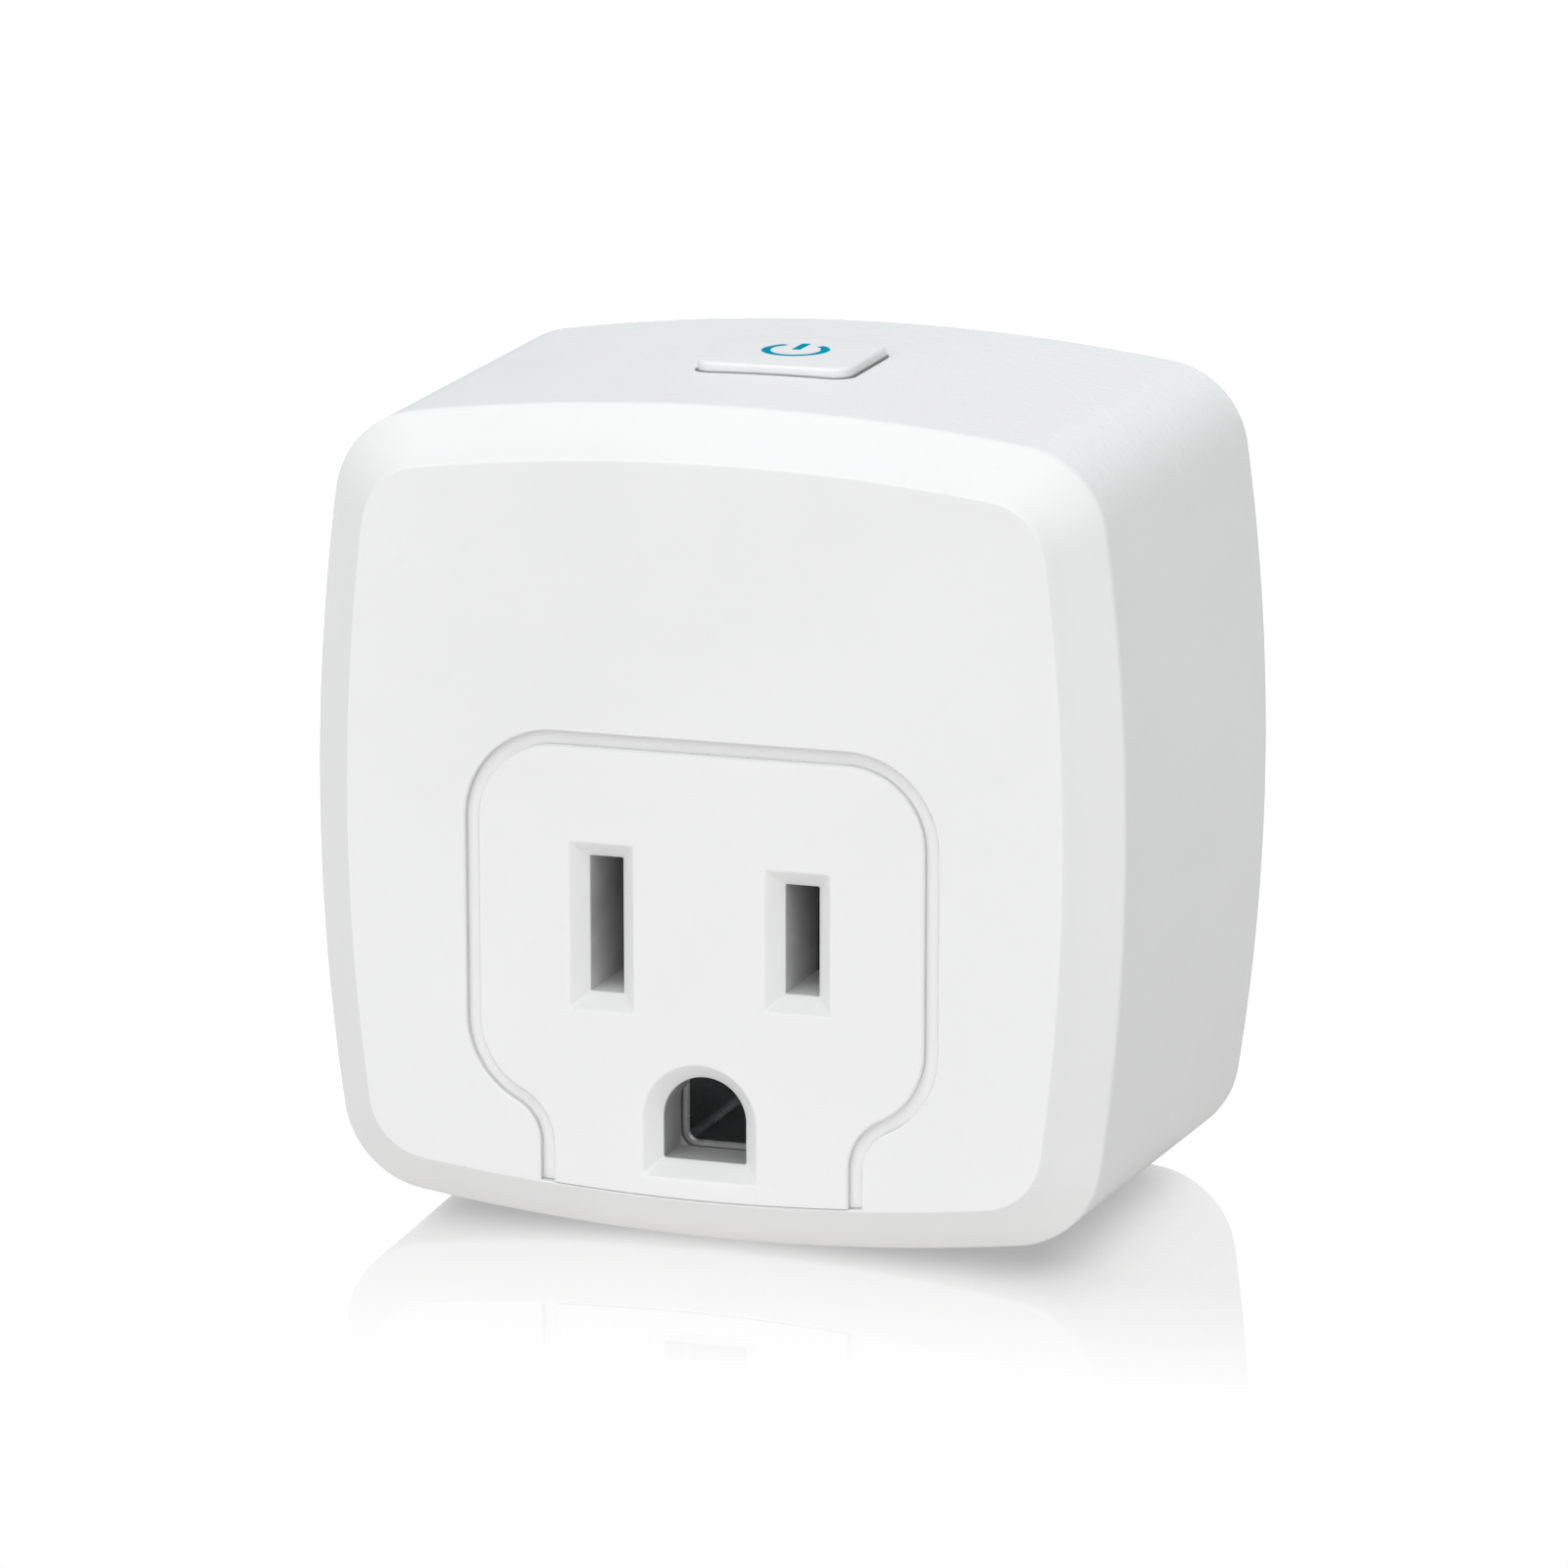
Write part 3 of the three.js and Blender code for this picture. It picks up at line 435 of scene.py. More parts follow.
def white_plastic(name, colour, rough=0.42, grain=True, upward_shade=None):
    """White polycarbonate: satin front, spark-eroded grain on the drafted sides."""
    n = Nodes(name)
    cloud = n.noise(55.0, 3.0)
    speck = n.noise(900.0, 2.0)
    tint = n.mix(n.ramp(cloud, 0.3, 0.7, 0.0, 1.0), scaled(colour, 0.972), colour)
    tint = n.mix(n.ramp(speck, 0.62, 0.72, 0.0, 0.16), tint, scaled(colour, 0.93))
    scuffs = n.noise(260.0, 5.0, 0.65, n.stretched((1.0, 0.25, 1.0)))
    base_rough = n.ramp(scuffs, 0.3, 0.75, rough - 0.05, rough + 0.06)
    direction = n.add("ShaderNodeNewGeometry").outputs["Normal"]
    facing = n.add("ShaderNodeSeparateXYZ", Vector=direction).outputs
    if upward_shade:
        # painted shade: bevels that face up are coloured darker
        tint = n.mix(n.ramp(facing[2], 0.25, 0.65, 0.0, 1.0), tint, upward_shade)
    # painted shade on the groove's walls, and painted light on its floor, which is coloured whiter
    # than the plastic
    wall_shade_mask = n.ramp(n.math("ABSOLUTE", facing[1], 0.0), 0.25, 0.5, 1.0, 0.0)
    inset = n.ramp(n.axis(1), (FACE_Y + 0.1) * MM, (FACE_Y + 0.2) * MM, 0.0, 1.0)
    behind = n.ramp(n.axis(1), GROOVE_SHADE_END, GROOVE_SHADE_OFF, 1.0, 0.0)
    inset = n.math("MULTIPLY", inset, behind)
    floor_light_mask = n.ramp(n.math("ABSOLUTE", facing[1], 0.0), 0.85, 0.95, 0.0, 1.0)
    tint = n.mix(n.math("MULTIPLY", floor_light_mask, inset), tint, rgba(*GROOVE_FLOOR_LIGHT))
    tint = n.mix(n.math("MULTIPLY", wall_shade_mask, inset), tint, scaled(colour, GROOVE_WALL_SHADE))
    fine = n.noise(2600.0, 2.0)
    ripple = n.noise(70.0, 2.0)
    normal = n.bump(ripple, 0.05, 0.0006)
    if grain:
        sides = n.ramp(n.axis(1), RIM_Y * MM, (RIM_Y + 0.35) * MM, 0.0, 1.0)
        pits = n.add("ShaderNodeTexVoronoi", Scale=3400.0, Vector=n.place).outputs["Distance"]
        texture = n.math("ADD", n.math("MULTIPLY", fine, 0.7), n.math("MULTIPLY", pits, 0.5))
        mottle = n.math("MULTIPLY", n.noise(1250.0, 2.0), sides)
        normal = n.bump(mottle, 0.6, 0.0001, normal)
        normal = n.bump(n.math("MULTIPLY", texture, sides), 0.34, 0.00005, normal)
        normal = n.bump(fine, 0.05, 0.00002, normal)
        base_rough = n.math("ADD", base_rough, n.math("MULTIPLY", sides, 0.02))
        # painted light: the rounded upper corners are coloured a little lighter
        corner = n.math("MULTIPLY", n.math("MULTIPLY", facing[0], facing[2]), 2.0)
        corner = n.math("MULTIPLY", n.math("MAXIMUM", corner, 0.0), sides)
        tint = n.mix(corner, tint, rgba(0.99, 0.99, 0.99))
    else:
        normal = n.bump(fine, 0.07, 0.00002, normal)
        # shade in the gap at the foot of the button
        slope = (BACK_HALF - FRONT_HALF) / -RIM_Y
        surface = n.math("MULTIPLY_ADD", n.axis(1), slope)
        n.set(surface.node.inputs[2], BACK_HALF * MM)
        squared = n.math("MULTIPLY", n.axis(0), n.axis(0))
        bow = n.math("MULTIPLY", squared, 0.5 / ((SIDE_BOW + FRONT_HALF) * MM))
        height = n.math("SUBTRACT", n.math("ADD", n.axis(2), bow), surface)
        foot = n.ramp(height, FOOT_LOW, FOOT_HIGH, FOOT_SHADE, 0.0)
        tint = n.mix(foot, tint, rgba(*FOOT_COLOUR))
    n.shade(Base_Color=tint, Roughness=base_rough, Normal=normal, IOR=1.5)
    n.shade(Subsurface_Weight=0.15, Subsurface_Radius=(1.0, 0.95, 0.9), Subsurface_Scale=0.0006)
    return n.material


def moulding(name, colour, rough=0.5, shade_below=None):
    """Glass-filled or plain moulding: faint flow marks and a fine matt skin.

    Below a given height, in metres, it is painted darker: painted shade where the part is seen deep
    in a hole.
    """
    n = Nodes(name)
    flow = n.noise(180.0, 4.0, 0.6, n.stretched((1.0, 0.3, 1.0)))
    fleck = n.noise(1800.0, 2.0)
    light = rgba(*(min(c * 1.25 + 0.006, 1.0) for c in colour[:3]))
    dark = scaled(colour, 0.82)
    tint = n.mix(n.ramp(flow, 0.3, 0.7, 0.0, 1.0), dark, light)
    tint = n.mix(n.math("MULTIPLY", n.edges(), 0.35), tint, light)
    if shade_below:
        # painted shade: darker below the given height
        below = n.ramp(n.axis(2), shade_below, shade_below + 0.001, 1.0, 0.0)
        tint = n.mix(below, tint, scaled(colour, 0.68))
    n.shade(
        Base_Color=tint,
        Roughness=n.ramp(flow, 0.3, 0.7, rough - 0.08, rough + 0.1),
        Normal=n.bump(fleck, 0.2, 0.00004),
    )
    return n.material


def metal(name, colour, rough=0.28, direction=(1.0, 0.05, 1.0), worn=(0.75, 0.72, 0.66)):
    """Drawn or plated metal: brushed lines, uneven polish and brighter worn edges."""
    n = Nodes(name)
    lines = n.noise(1500.0, 4.0, 0.7, n.stretched(direction))
    patches = n.noise(160.0, 4.0)
    dull = scaled(colour, 0.8)
    tint = n.mix(n.ramp(patches, 0.35, 0.7, 0.0, 1.0), colour, dull)
    tint = n.mix(n.math("MULTIPLY", n.edges(0.0002), 0.6), tint, rgba(*worn))
    rough_map = n.math(
        "ADD",
        n.ramp(lines, 0.3, 0.7, rough - 0.08, rough + 0.1),
        n.ramp(patches, 0.4, 0.8, 0.0, 0.1),
    )
    scratches = n.bump(lines, 0.12, 0.00003)
    n.shade(Base_Color=tint, Metallic=1.0, Roughness=rough_map, Normal=scratches)
    return n.material


def light_guide():
    """Tinted translucent inlay, slightly cloudy."""
    n = Nodes("cyan_guide")
    cloud = n.noise(900.0, 3.0)
    deep, pale = rgba(0.0, 0.28, 0.41), rgba(0.0, 0.33, 0.47)
    tint = n.mix(n.ramp(cloud, 0.3, 0.7, 0.0, 1.0), deep, pale)
    n.shade(
        Base_Color=tint,
        Roughness=n.ramp(cloud, 0.3, 0.7, 0.28, 0.4),
        Normal=n.bump(n.noise(2400.0), 0.06, 0.00002),
        Specular_IOR_Level=0.0,
        Emission_Color=rgba(0.0, 0.6, 0.9),
        Emission_Strength=0.05,
    )
    return n.material


def board_material():
    """Green solder mask with the weave of the laminate showing through."""
    n = Nodes("circuit_board_green")
    weave_x = n.add("ShaderNodeTexWave", Scale=420.0, Vector=n.place)
    weave_z = n.add("ShaderNodeTexWave", Scale=420.0, Vector=n.place, bands_direction="Z")
    weave = n.math("MULTIPLY", weave_x.outputs["Fac"], weave_z.outputs["Fac"])
    tracks = n.add("ShaderNodeTexBrick", Scale=110.0, Vector=n.place).outputs["Fac"]
    tint = n.mix(tracks, rgba(0.010, 0.085, 0.035), rgba(0.018, 0.15, 0.06))
    tint = n.mix(n.math("MULTIPLY", weave, 0.25), tint, rgba(0.03, 0.2, 0.09))
    n.shade(
        Base_Color=tint,
        Roughness=n.ramp(n.noise(400.0), 0.3, 0.7, 0.22, 0.4),
        Normal=n.bump(n.math("ADD", weave, tracks), 0.12, 0.00004),
    )
    return n.material


def winding():
    """Enamelled copper wire, laid in turns."""
    n = Nodes("copper_winding_wire")
    turns = n.add(
        "ShaderNodeTexWave", Scale=900.0, Distortion=0.4, bands_direction="Y", Vector=n.place
    )
    patches = n.noise(300.0)
    dark, bright = rgba(0.52, 0.20, 0.07), rgba(0.68, 0.30, 0.12)
    tint = n.mix(n.ramp(patches, 0.3, 0.7, 0.0, 1.0), dark, bright)
    ridges = n.bump(turns.outputs["Fac"], 0.7, 0.0001)
    n.shade(Base_Color=tint, Metallic=0.85, Roughness=0.3, Normal=ridges)
    return n.material


# the second colour is painted shade for the panel's bevels that face up
WHITE, UPWARD_SHADE = rgba(0.92, 0.92, 0.918), rgba(0.76, 0.76, 0.758)
# painted shade: the carrier is darker below this height, where it is seen deep in the ground hole
CARRIER_SHADE_BELOW = -0.0145

MATERIALS = {
    "white_housing": white_plastic("white_satin_grain", WHITE),
    "white_panel": white_plastic("white_satin_panel", WHITE, upward_shade=UPWARD_SHADE),
    "white_button": white_plastic("white_button_satin", rgba(0.94, 0.94, 0.945), 0.36, False),
    "tinted_guide": light_guide(),
    "grey_moulding": moulding(
        "grey_carrier", rgba(0.60, 0.60, 0.602), 0.55, CARRIER_SHADE_BELOW
    ),
    "black_moulding": moulding("black_moulding", rgba(0.018, 0.018, 0.02)),
    "plated_brass": metal(
        "nickel_plated_brass", rgba(0.66, 0.64, 0.59), 0.24, worn=(0.78, 0.68, 0.46)
    ),
    "tinned_steel": metal("tinned_steel", rgba(0.60, 0.61, 0.62), 0.3),
    "screw_steel": metal("zinc_steel", rgba(0.50, 0.51, 0.53), 0.3, (1.0, 1.0, 1.0)),
    "circuit_board": board_material(),
    "led_body": moulding("lamp_body", rgba(0.75, 0.68, 0.40), 0.3),
    "relay_blue": moulding("relay_blue", rgba(0.03, 0.11, 0.33), 0.4),
    "relay_iron": metal("soft_iron", rgba(0.42, 0.42, 0.43), 0.38),
    "copper_winding": winding(),
    "copper_spring": metal("copper_spring", rgba(0.60, 0.32, 0.16), 0.3),
    "black_sleeve": moulding("black_sleeve", rgba(0.02, 0.02, 0.024), 0.25),
    "blue_sleeve": moulding("blue_sleeve", rgba(0.03, 0.11, 0.34), 0.28),
    "yellow_case": moulding("yellow_case", rgba(0.65, 0.42, 0.06), 0.4),
}


# ---- Housing ----------------------------------------------------------------------------

EDGE = 0.09          # rounding of the window's edge
FACE_EDGE = 0.08     # rounding between bevel and face
INNER_FACE = FACE_HALF - FACE_EDGE


def housing():
    shell = Shell()
    # (half width, y, corner radius) from the inside of the back, round the outside, to the face
    profile = [
        ((CAVITY_HALF, 0.0, CAVITY_R), 0),
        ((BACK_HALF, 0.0, CORNER_R), 0.3),
        ((half_at(-8.0), -8.0, CORNER_R), 0),
        ((half_at(-16.0), -16.0, CORNER_R), 0),
        ((half_at(-24.0), -24.0, CORNER_R), 0),
        ((FRONT_HALF, RIM_Y, CORNER_R), 0.2),
        ((FACE_HALF, FACE_Y, FACE_CORNER_R), FACE_EDGE),
        ((FACE_HALF - 0.5, FACE_Y, FACE_CORNER_R - 0.3), 0),
    ]
    rows = rounded_profile(profile, 6)[:-1]
    outer = [shell.ring(at_y(bowed_square(h, r), y)) for h, y, r in rows]
    shell.strips(outer)
    edge = outer[-1]
    edge_half = rows[-1][0]

    # the window for the panel: rounded edge, then straight in to just before the groove's floor
    def window_ring(margin, y, half):
        path = shell.ring(at_y(panel_path(margin, half), y))
        xs = [shell.points[edge[i]][0] for i in range(NECK_LEFT + 1, NECK_RIGHT)]
        return path + shell.ring([(x, y, bottom_z(half, x)) for x in xs])

    path = panel_path(GROOVE + EDGE, edge_half)
    top = shell.ring(at_y(path[1:-1], FACE_Y))
    first = [edge[NECK_RIGHT]] + top + [edge[NECK_LEFT]]
    first_loop = first + [edge[i] for i in range(NECK_LEFT + 1, NECK_RIGHT)]
    count = len(edge)
    around = [edge[(NECK_RIGHT + i) % count] for i in range(count - (NECK_RIGHT - NECK_LEFT) + 1)]
    shell.flat(around + list(reversed(top)))
    loops = [first_loop]
    for k in range(1, 5):
        t = k / 4
        margin = GROOVE + EDGE * (1 - t) ** 2
        y = FACE_Y + EDGE * (1 - (1 - t) ** 2) + 0.01 * t
        loops.append(window_ring(margin, y, edge_half - FLANGE_GAP * t))
    loops.append(window_ring(GROOVE, GROOVE_FLOOR_Y - FLANGE_GAP, edge_half - FLANGE_GAP))
    shell.strips(loops)

    # inside: the pocket behind the window and the cavity
    inner_rows = [(23.4, GROOVE_FLOOR_Y - FLANGE_GAP, 3.6), (24.2, -28.9, CAVITY_R)]
    inner = [shell.ring(at_y(bowed_square(h, r), y)) for h, y, r in inner_rows]
    shell.flat(inner[0], loops[-1])
    shell.strips(inner + [outer[0]])
    piece = shell.build(
        "housing_shell", MATERIALS["white_housing"], nodes=["housing"]
    )
    carve(piece, button_well())
    finish_mesh(piece, 32)
    weighted_normals(piece)


WELL_LOW, WELL_HIGH = 22.0, 30.0     # well inside and well above the top wall


def button_well():
    """The tool that cuts the opening for the button."""
    tool = Shell()
    half_x, half_y = BUTTON_X + BUTTON_GAP, BUTTON_HALF_Y + BUTTON_GAP
    outline = rectangle(0, BUTTON_Y, half_x, half_y, BUTTON_R + BUTTON_GAP, 10)
    low = tool.ring([(x, y, WELL_LOW) for x, y in outline])
    high = tool.ring([(x, y, WELL_HIGH) for x, y in outline])
    tool.strip(low, high)
    tool.flat(low)
    tool.flat(high)
    return tool.build("button_well", MATERIALS["white_housing"], body=None)


# ---- Socket panel -------------------------------------------------------------------------

PANEL_EDGE = 0.11            # rounding of the panel's front edge
PANEL_FOOT_GAP = 0.05        # between the panel's lower edge and the bevel
NOSE_RECESS = (0, -11.3, 9.1, 10.2, 0.3)    # centre, half sizes and corner of the carrier's recess


def socket_panel():
    shell = Shell()
    half = INNER_FACE - PANEL_FOOT_GAP

    def outline(margin, y):
        return shell.ring(at_y(panel_loop(margin, half + 0.3 * margin), y))

    front = [outline(-inset, FACE_Y + depth) for inset, depth in softened(PANEL_EDGE)]
    wall = outline(0, GROOVE_FLOOR_Y)
    shell.strips(front + [wall])

    flange_side = PANEL_HALF + GROOVE + FLANGE_LIP
    flange_top = PANEL_TOP + GROOVE + FLANGE_LIP
    xs = [-flange_side + 2 * flange_side * i / 30 for i in range(31)]
    plate = (
        [(x, bottom_z(half + 0.02, x)) for x in xs]
        + arc(flange_side - 5, flange_top - 5, 5, 0, math.pi / 2, 12)
        + arc(5 - flange_side, flange_top - 5, 5, math.pi / 2, math.pi, 12)
    )
    flange_front = shell.ring(at_y(plate, GROOVE_FLOOR_Y))
    flange_back = shell.ring(at_y(plate, FLANGE_BACK))
    shell.flat(flange_front, wall)
    shell.strip(flange_front, flange_back)
    recess = rectangle(*NOSE_RECESS, 3)
    recess_back = shell.ring(at_y(recess, FLANGE_BACK))
    recess_floor = shell.ring(at_y(recess, NOSE_Y))
    shell.flat(flange_back, recess_back)
    shell.strip(recess_back, recess_floor)

    mouths, ends = [], []
    lip = 0.1
    forms = (
        slot_outline(NEUTRAL_X, NEUTRAL_TALL), slot_outline(LINE_X, LINE_TALL), ground_outline
    )
    for form in forms:
        profile = [
            ((ENTRY_BEVEL + 0.6, FACE_Y), 0),
            ((ENTRY_BEVEL, FACE_Y), lip),
            ((0.0, FACE_Y + ENTRY_BEVEL), 0.06),
            ((0.0, NOSE_Y), 0),
        ]
        rings = [shell.ring(at_y(form(m), y)) for m, y in rounded_profile(profile, 4)[1:]]
        shell.strips(rings)
        mouths.append(rings[0])
        ends.append(rings[-1])
    shell.flat(front[0], *mouths)
    shell.flat(recess_floor, *ends)
    piece = shell.build(
        "socket_panel_shell", MATERIALS["white_panel"],
        nodes=["socket_panel"], sharp=40,
    )
    weighted_normals(piece)


def ground_contact():
    """The square sheet-metal sleeve seen at the bottom of the ground hole."""
    shell = Shell()
    outer, wall, mid = 2.62, 0.5, GROUND_Z - 0.12
    front, back = -28.45, -14.9

    def outside(inset, y):
        return shell.ring(at_y(rectangle(0, mid, outer - inset, outer - inset, 1.1 - inset, 8), y))

    def inside(grow, y):
        side = outer - wall + grow
        return shell.ring(at_y(rectangle(0, mid, side, side, 0.62 + grow, 8), y))

    out_front = [outside(inset, front + depth) for inset, depth in softened(0.14)]
    in_front = [inside(inset, front + depth) for inset, depth in softened(0.14)]
    out_back, in_back = outside(0, back), inside(0, back)
    shell.strips(out_front + [out_back])
    shell.strips(in_front + [in_back])
    shell.strip(out_front[0], in_front[0])
    shell.strip(out_back, in_back)
    piece = shell.build(
        "ground_sleeve", MATERIALS["tinned_steel"], nodes=["ground_contact"]
    )
    weighted_normals(piece)


# ---- Back: cover, screws, blades and ground pin ---------------------------------------------

def rear_cover():
    shell = Shell()
    half = half_at(-COVER) - 2.12
    steps = [(inset, -depth) for inset, depth in softened(0.2)]
    rim = [shell.ring(at_y(bowed_square(half - m, 3.9 - m), y)) for m, y in steps]
    inner = shell.ring(at_y(bowed_square(half, 3.9), -COVER))
    shell.strips(rim + [inner])
    openings = [
        (lambda m: rectangle(NEUTRAL_X, PIN_Z, 0.85 + m, 4.05 + m, 0.1 + m, 3), None),
        (lambda m: rectangle(LINE_X, PIN_Z, 0.85 + m, 3.275 + m, 0.1 + m, 3), None),
        (lambda m: circle(0, GROUND_Z, 2.5 + m), None),
    ]
    for sx, sz in ((1, 1), (-1, 1), (-1, -1), (1, -1)):
        def bore(m, x=sx * BOSS_AT, z=sz * BOSS_AT):
            return circle(x, z, 2.2 + m, 40)

        def pilot(m, x=sx * BOSS_AT, z=sz * BOSS_AT):
            return circle(x, z, 1.25 + m, 40)
        openings.append((bore, pilot))
    tops, bottoms = [], []
    for form, step in openings:
        rings = [shell.ring(at_y(form(m * 0.7), y * 0.7)) for m, y in steps]
        if step:
            rings += [shell.ring(at_y(form(0), -1.15)), shell.ring(at_y(step(0), -1.15))]
            rings.append(shell.ring(at_y(step(0), -COVER)))
        else:
            rings.append(shell.ring(at_y(form(0), -COVER)))
        shell.strips(rings)
        tops.append(rings[0])
        bottoms.append(rings[-1])
    shell.flat(rim[0], *tops)
    shell.flat(inner, *bottoms)
    piece = shell.build(
        "rear_cover_plate", MATERIALS["white_housing"],
        nodes=["rear_cover"], sharp=40,
    )
    weighted_normals(piece)


def cover_screws():
    """Pan-head screws with a three-lobed recess."""
    head_y = -0.15
    for number, (sx, sz) in enumerate(((1, 1), (-1, 1), (-1, -1), (1, -1)), 1):
        cx, cz = sx * BOSS_AT, sz * BOSS_AT
        turn = number * 1.3
        shell = Shell()
        profile = rounded_profile([
            ((1.2, head_y), 0),
            ((1.78, head_y), 0.2),
            ((2.0, head_y - 0.35), 0.12),
            ((2.0, head_y - 0.95), 0.06),
            ((0.95, head_y - 0.95), 0),
            ((0.95, head_y - 7.6), 0),
            ((0.6, head_y - 8.6), 0),
            ((0.05, head_y - 9.0), 0),
        ], 4)[1:]
        rings = [shell.ring(at_y(circle(cx, cz, r), y)) for r, y in profile]
        shell.strips(rings)
        shell.flat(rings[-1])

        def recess(scale):
            points = []
            for i in range(60):
                a = 2 * math.pi * i / 60
                r = (0.62 + 0.26 * math.cos(3 * a)) * scale
                points.append((cx + r * math.cos(a + turn), cz + r * math.sin(a + turn)))
            return points

        mouth = shell.ring(at_y(recess(1.06), head_y))
        edge = shell.ring(at_y(recess(1.0), head_y - 0.06))
        low = shell.ring(at_y(recess(0.92), head_y - 0.7))
        shell.flat(rings[0], mouth)
        shell.strips([mouth, edge, low])
        shell.flat(low)
        node = f"cover_screw_{number}"
        piece = shell.build(
            f"{node}_head", MATERIALS["screw_steel"], nodes=[node]
        )
        weighted_normals(piece)


def blade(name, node, cx, half):
    """A flat blade with softened edges, a bevelled tip and a locking hole."""
    tip, soft = 1.1, 0.16
    hole_at, hole_r = 11.7, 1.6
    steps = softened(soft)

    def outline(inset):
        corners = [
            (0.05, PIN_Z - half + inset),
            (BLADE_LENGTH - tip, PIN_Z - half + inset),
            (BLADE_LENGTH - inset, PIN_Z - half + tip),
            (BLADE_LENGTH - inset, PIN_Z + half - tip),
            (BLADE_LENGTH - tip, PIN_Z + half - inset),
            (0.05, PIN_Z + half - inset),
        ]
        return rounded_polygon(corners, 0.04 + 0.3 * (soft - inset), 5)

    shell = Shell()
    half_thick = BLADE_THICK / 2

    def ring(points, x):
        return shell.ring([(cx + x, y, z) for y, z in points])

    outer, hole = [], []
    for inset, depth in steps:
        outer.append(ring(outline(inset), -half_thick + depth))
        hole.append(ring(circle(hole_at, PIN_Z, hole_r + inset), -half_thick + depth))
    for inset, depth in reversed(steps):
        outer.append(ring(outline(inset), half_thick - depth))
        hole.append(ring(circle(hole_at, PIN_Z, hole_r + inset), half_thick - depth))
    shell.strips(outer)
    shell.strips(hole)
    shell.flat(outer[0], hole[0])
    shell.flat(outer[-1], hole[-1])
    piece = shell.build(
        name, MATERIALS["plated_brass"], nodes=[node], sharp=50
    )
    weighted_normals(piece)

    # the shank through the cover and its shoulder inside
    shank = Shell()
    thin = half_thick - 0.05
    rows = [(-0.02, 0.3), (-0.02, SHOULDER_BACK), (0.8, SHOULDER_BACK), (0.8, SHOULDER_FRONT)]
    rings = [
        shank.ring(at_y(rectangle(cx, PIN_Z, thin, half + wider, 0.08, 3), y))
        for wider, y in rows
    ]
    shank.strips(rings)
    shank.flat(rings[0])
    shank.flat(rings[-1])
    shank.build(f"{name}_shank", MATERIALS["plated_brass"])


def ground_pin():
    shell = Shell()
    profile = rounded_profile([
        ((3.3, -3.6), 0),
        ((3.3, SHOULDER_BACK), 0.1),
        ((2.4, SHOULDER_BACK), 0),
        ((2.4, 18.5), 0.6),
        ((2.1, 19.75), 0.5),
        ((1.3, 20.42), 0.4),
        ((0.04, 20.6), 0),
    ], 6)
    rings = [shell.ring(at_y(circle(0, GROUND_Z, r, 64), y)) for r, y in profile]
    shell.strips(rings)
    shell.flat(rings[0])
    shell.flat(rings[-1])
    piece = shell.build(
        "ground_pin_round", MATERIALS["plated_brass"], nodes=["ground_pin"]
    )
    weighted_normals(piece)


# ---- Button ---------------------------------------------------------------------------------

def top_z(x, y, raised=0.0):
    """Height of the bowed, drafted top of the body."""
    return -SIDE_BOW + math.sqrt((SIDE_BOW + half_at(y)) ** 2 - x ** 2) + raised


def button_cap():
    shell = Shell()
    soft = 0.2
    base = 23.8

    def ring(inset, drop):
        outline = rectangle(
            0, BUTTON_Y, BUTTON_X - inset, BUTTON_HALF_Y - inset, max(BUTTON_R - inset, 0.4), 10
        )
        return shell.ring([(x, y, top_z(x, y, BUTTON_RAISE) - drop) for x, y in outline])

    angles = [math.pi / 2 * k / 7 for k in range(8)]
    rings = [ring(soft * (1 - math.cos(a)), soft * (1 - math.sin(a))) for a in angles]
    rings += [ring(soft + 0.5 * k, 0.0) for k in range(1, 8)]
    outline = rectangle(0, BUTTON_Y, BUTTON_X, BUTTON_HALF_Y, BUTTON_R, 10)
    low = shell.ring([(x, y, base) for x, y in outline])
    shell.strips([low] + rings)
    shell.flat(rings[-1])
    shell.flat(low)
    piece = shell.build(
        "button_top", MATERIALS["white_button"], "button", ["button_cap"]
    )
    carve(piece, *(symbol_prism(part, 0.02, 26.4, None) for part in (RING, BAR)))
    finish_mesh(piece, 35)
    weighted_normals(piece)


RING, BAR = 0, 1             # the two strokes of the symbol
SYMBOL_SINK = 0.03           # how far the strokes lie below the cap's surface


def symbol_outline(part, grow):
    half = STROKE / 2 + grow
    if part == BAR:
        tip = SYMBOL_Y + BAR_LENGTH + grow
        return rectangle(0, (SYMBOL_Y - grow + tip) / 2, half, (tip - SYMBOL_Y + grow) / 2, 0.08, 3)
    spread = RING_GAP - grow / RING_R
    start, end = math.pi / 2 + spread, math.pi * 2.5 - spread
    return (
        arc(0, SYMBOL_Y, RING_R + half, start, end, 64)
        + arc(0, SYMBOL_Y, RING_R - half, end, start, 64)
    )


def symbol_prism(part, grow, low, material):
    """One stroke of the symbol; without a material it is a plain cutting tool."""
    shell = Shell()
    outline = symbol_outline(part, grow)
    bottom = shell.ring([(x, y, low) for x, y in outline])
    if material:
        top = shell.ring([(x, y, top_z(x, y, BUTTON_RAISE) - SYMBOL_SINK) for x, y in outline])
    else:
        top = shell.ring([(x, y, WELL_HIGH) for x, y in outline])
    shell.strip(bottom, top)
    shell.flat(bottom)
    shell.flat(top)
    if not material:
        return shell.build(f"symbol_tool_{part}", MATERIALS["white_button"], body=None)
    return shell.build(f"symbol_stroke_{part + 1}", material, "button")


def symbol():
    ring_piece = symbol_prism(RING, 0.0, 26.0, MATERIALS["tinted_guide"])
    symbol_prism(BAR, 0.0, 26.0, MATERIALS["tinted_guide"])
    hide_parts("button_light_guide")


# ---- Pieces that keep their CAD shape ------------------------------------------------------

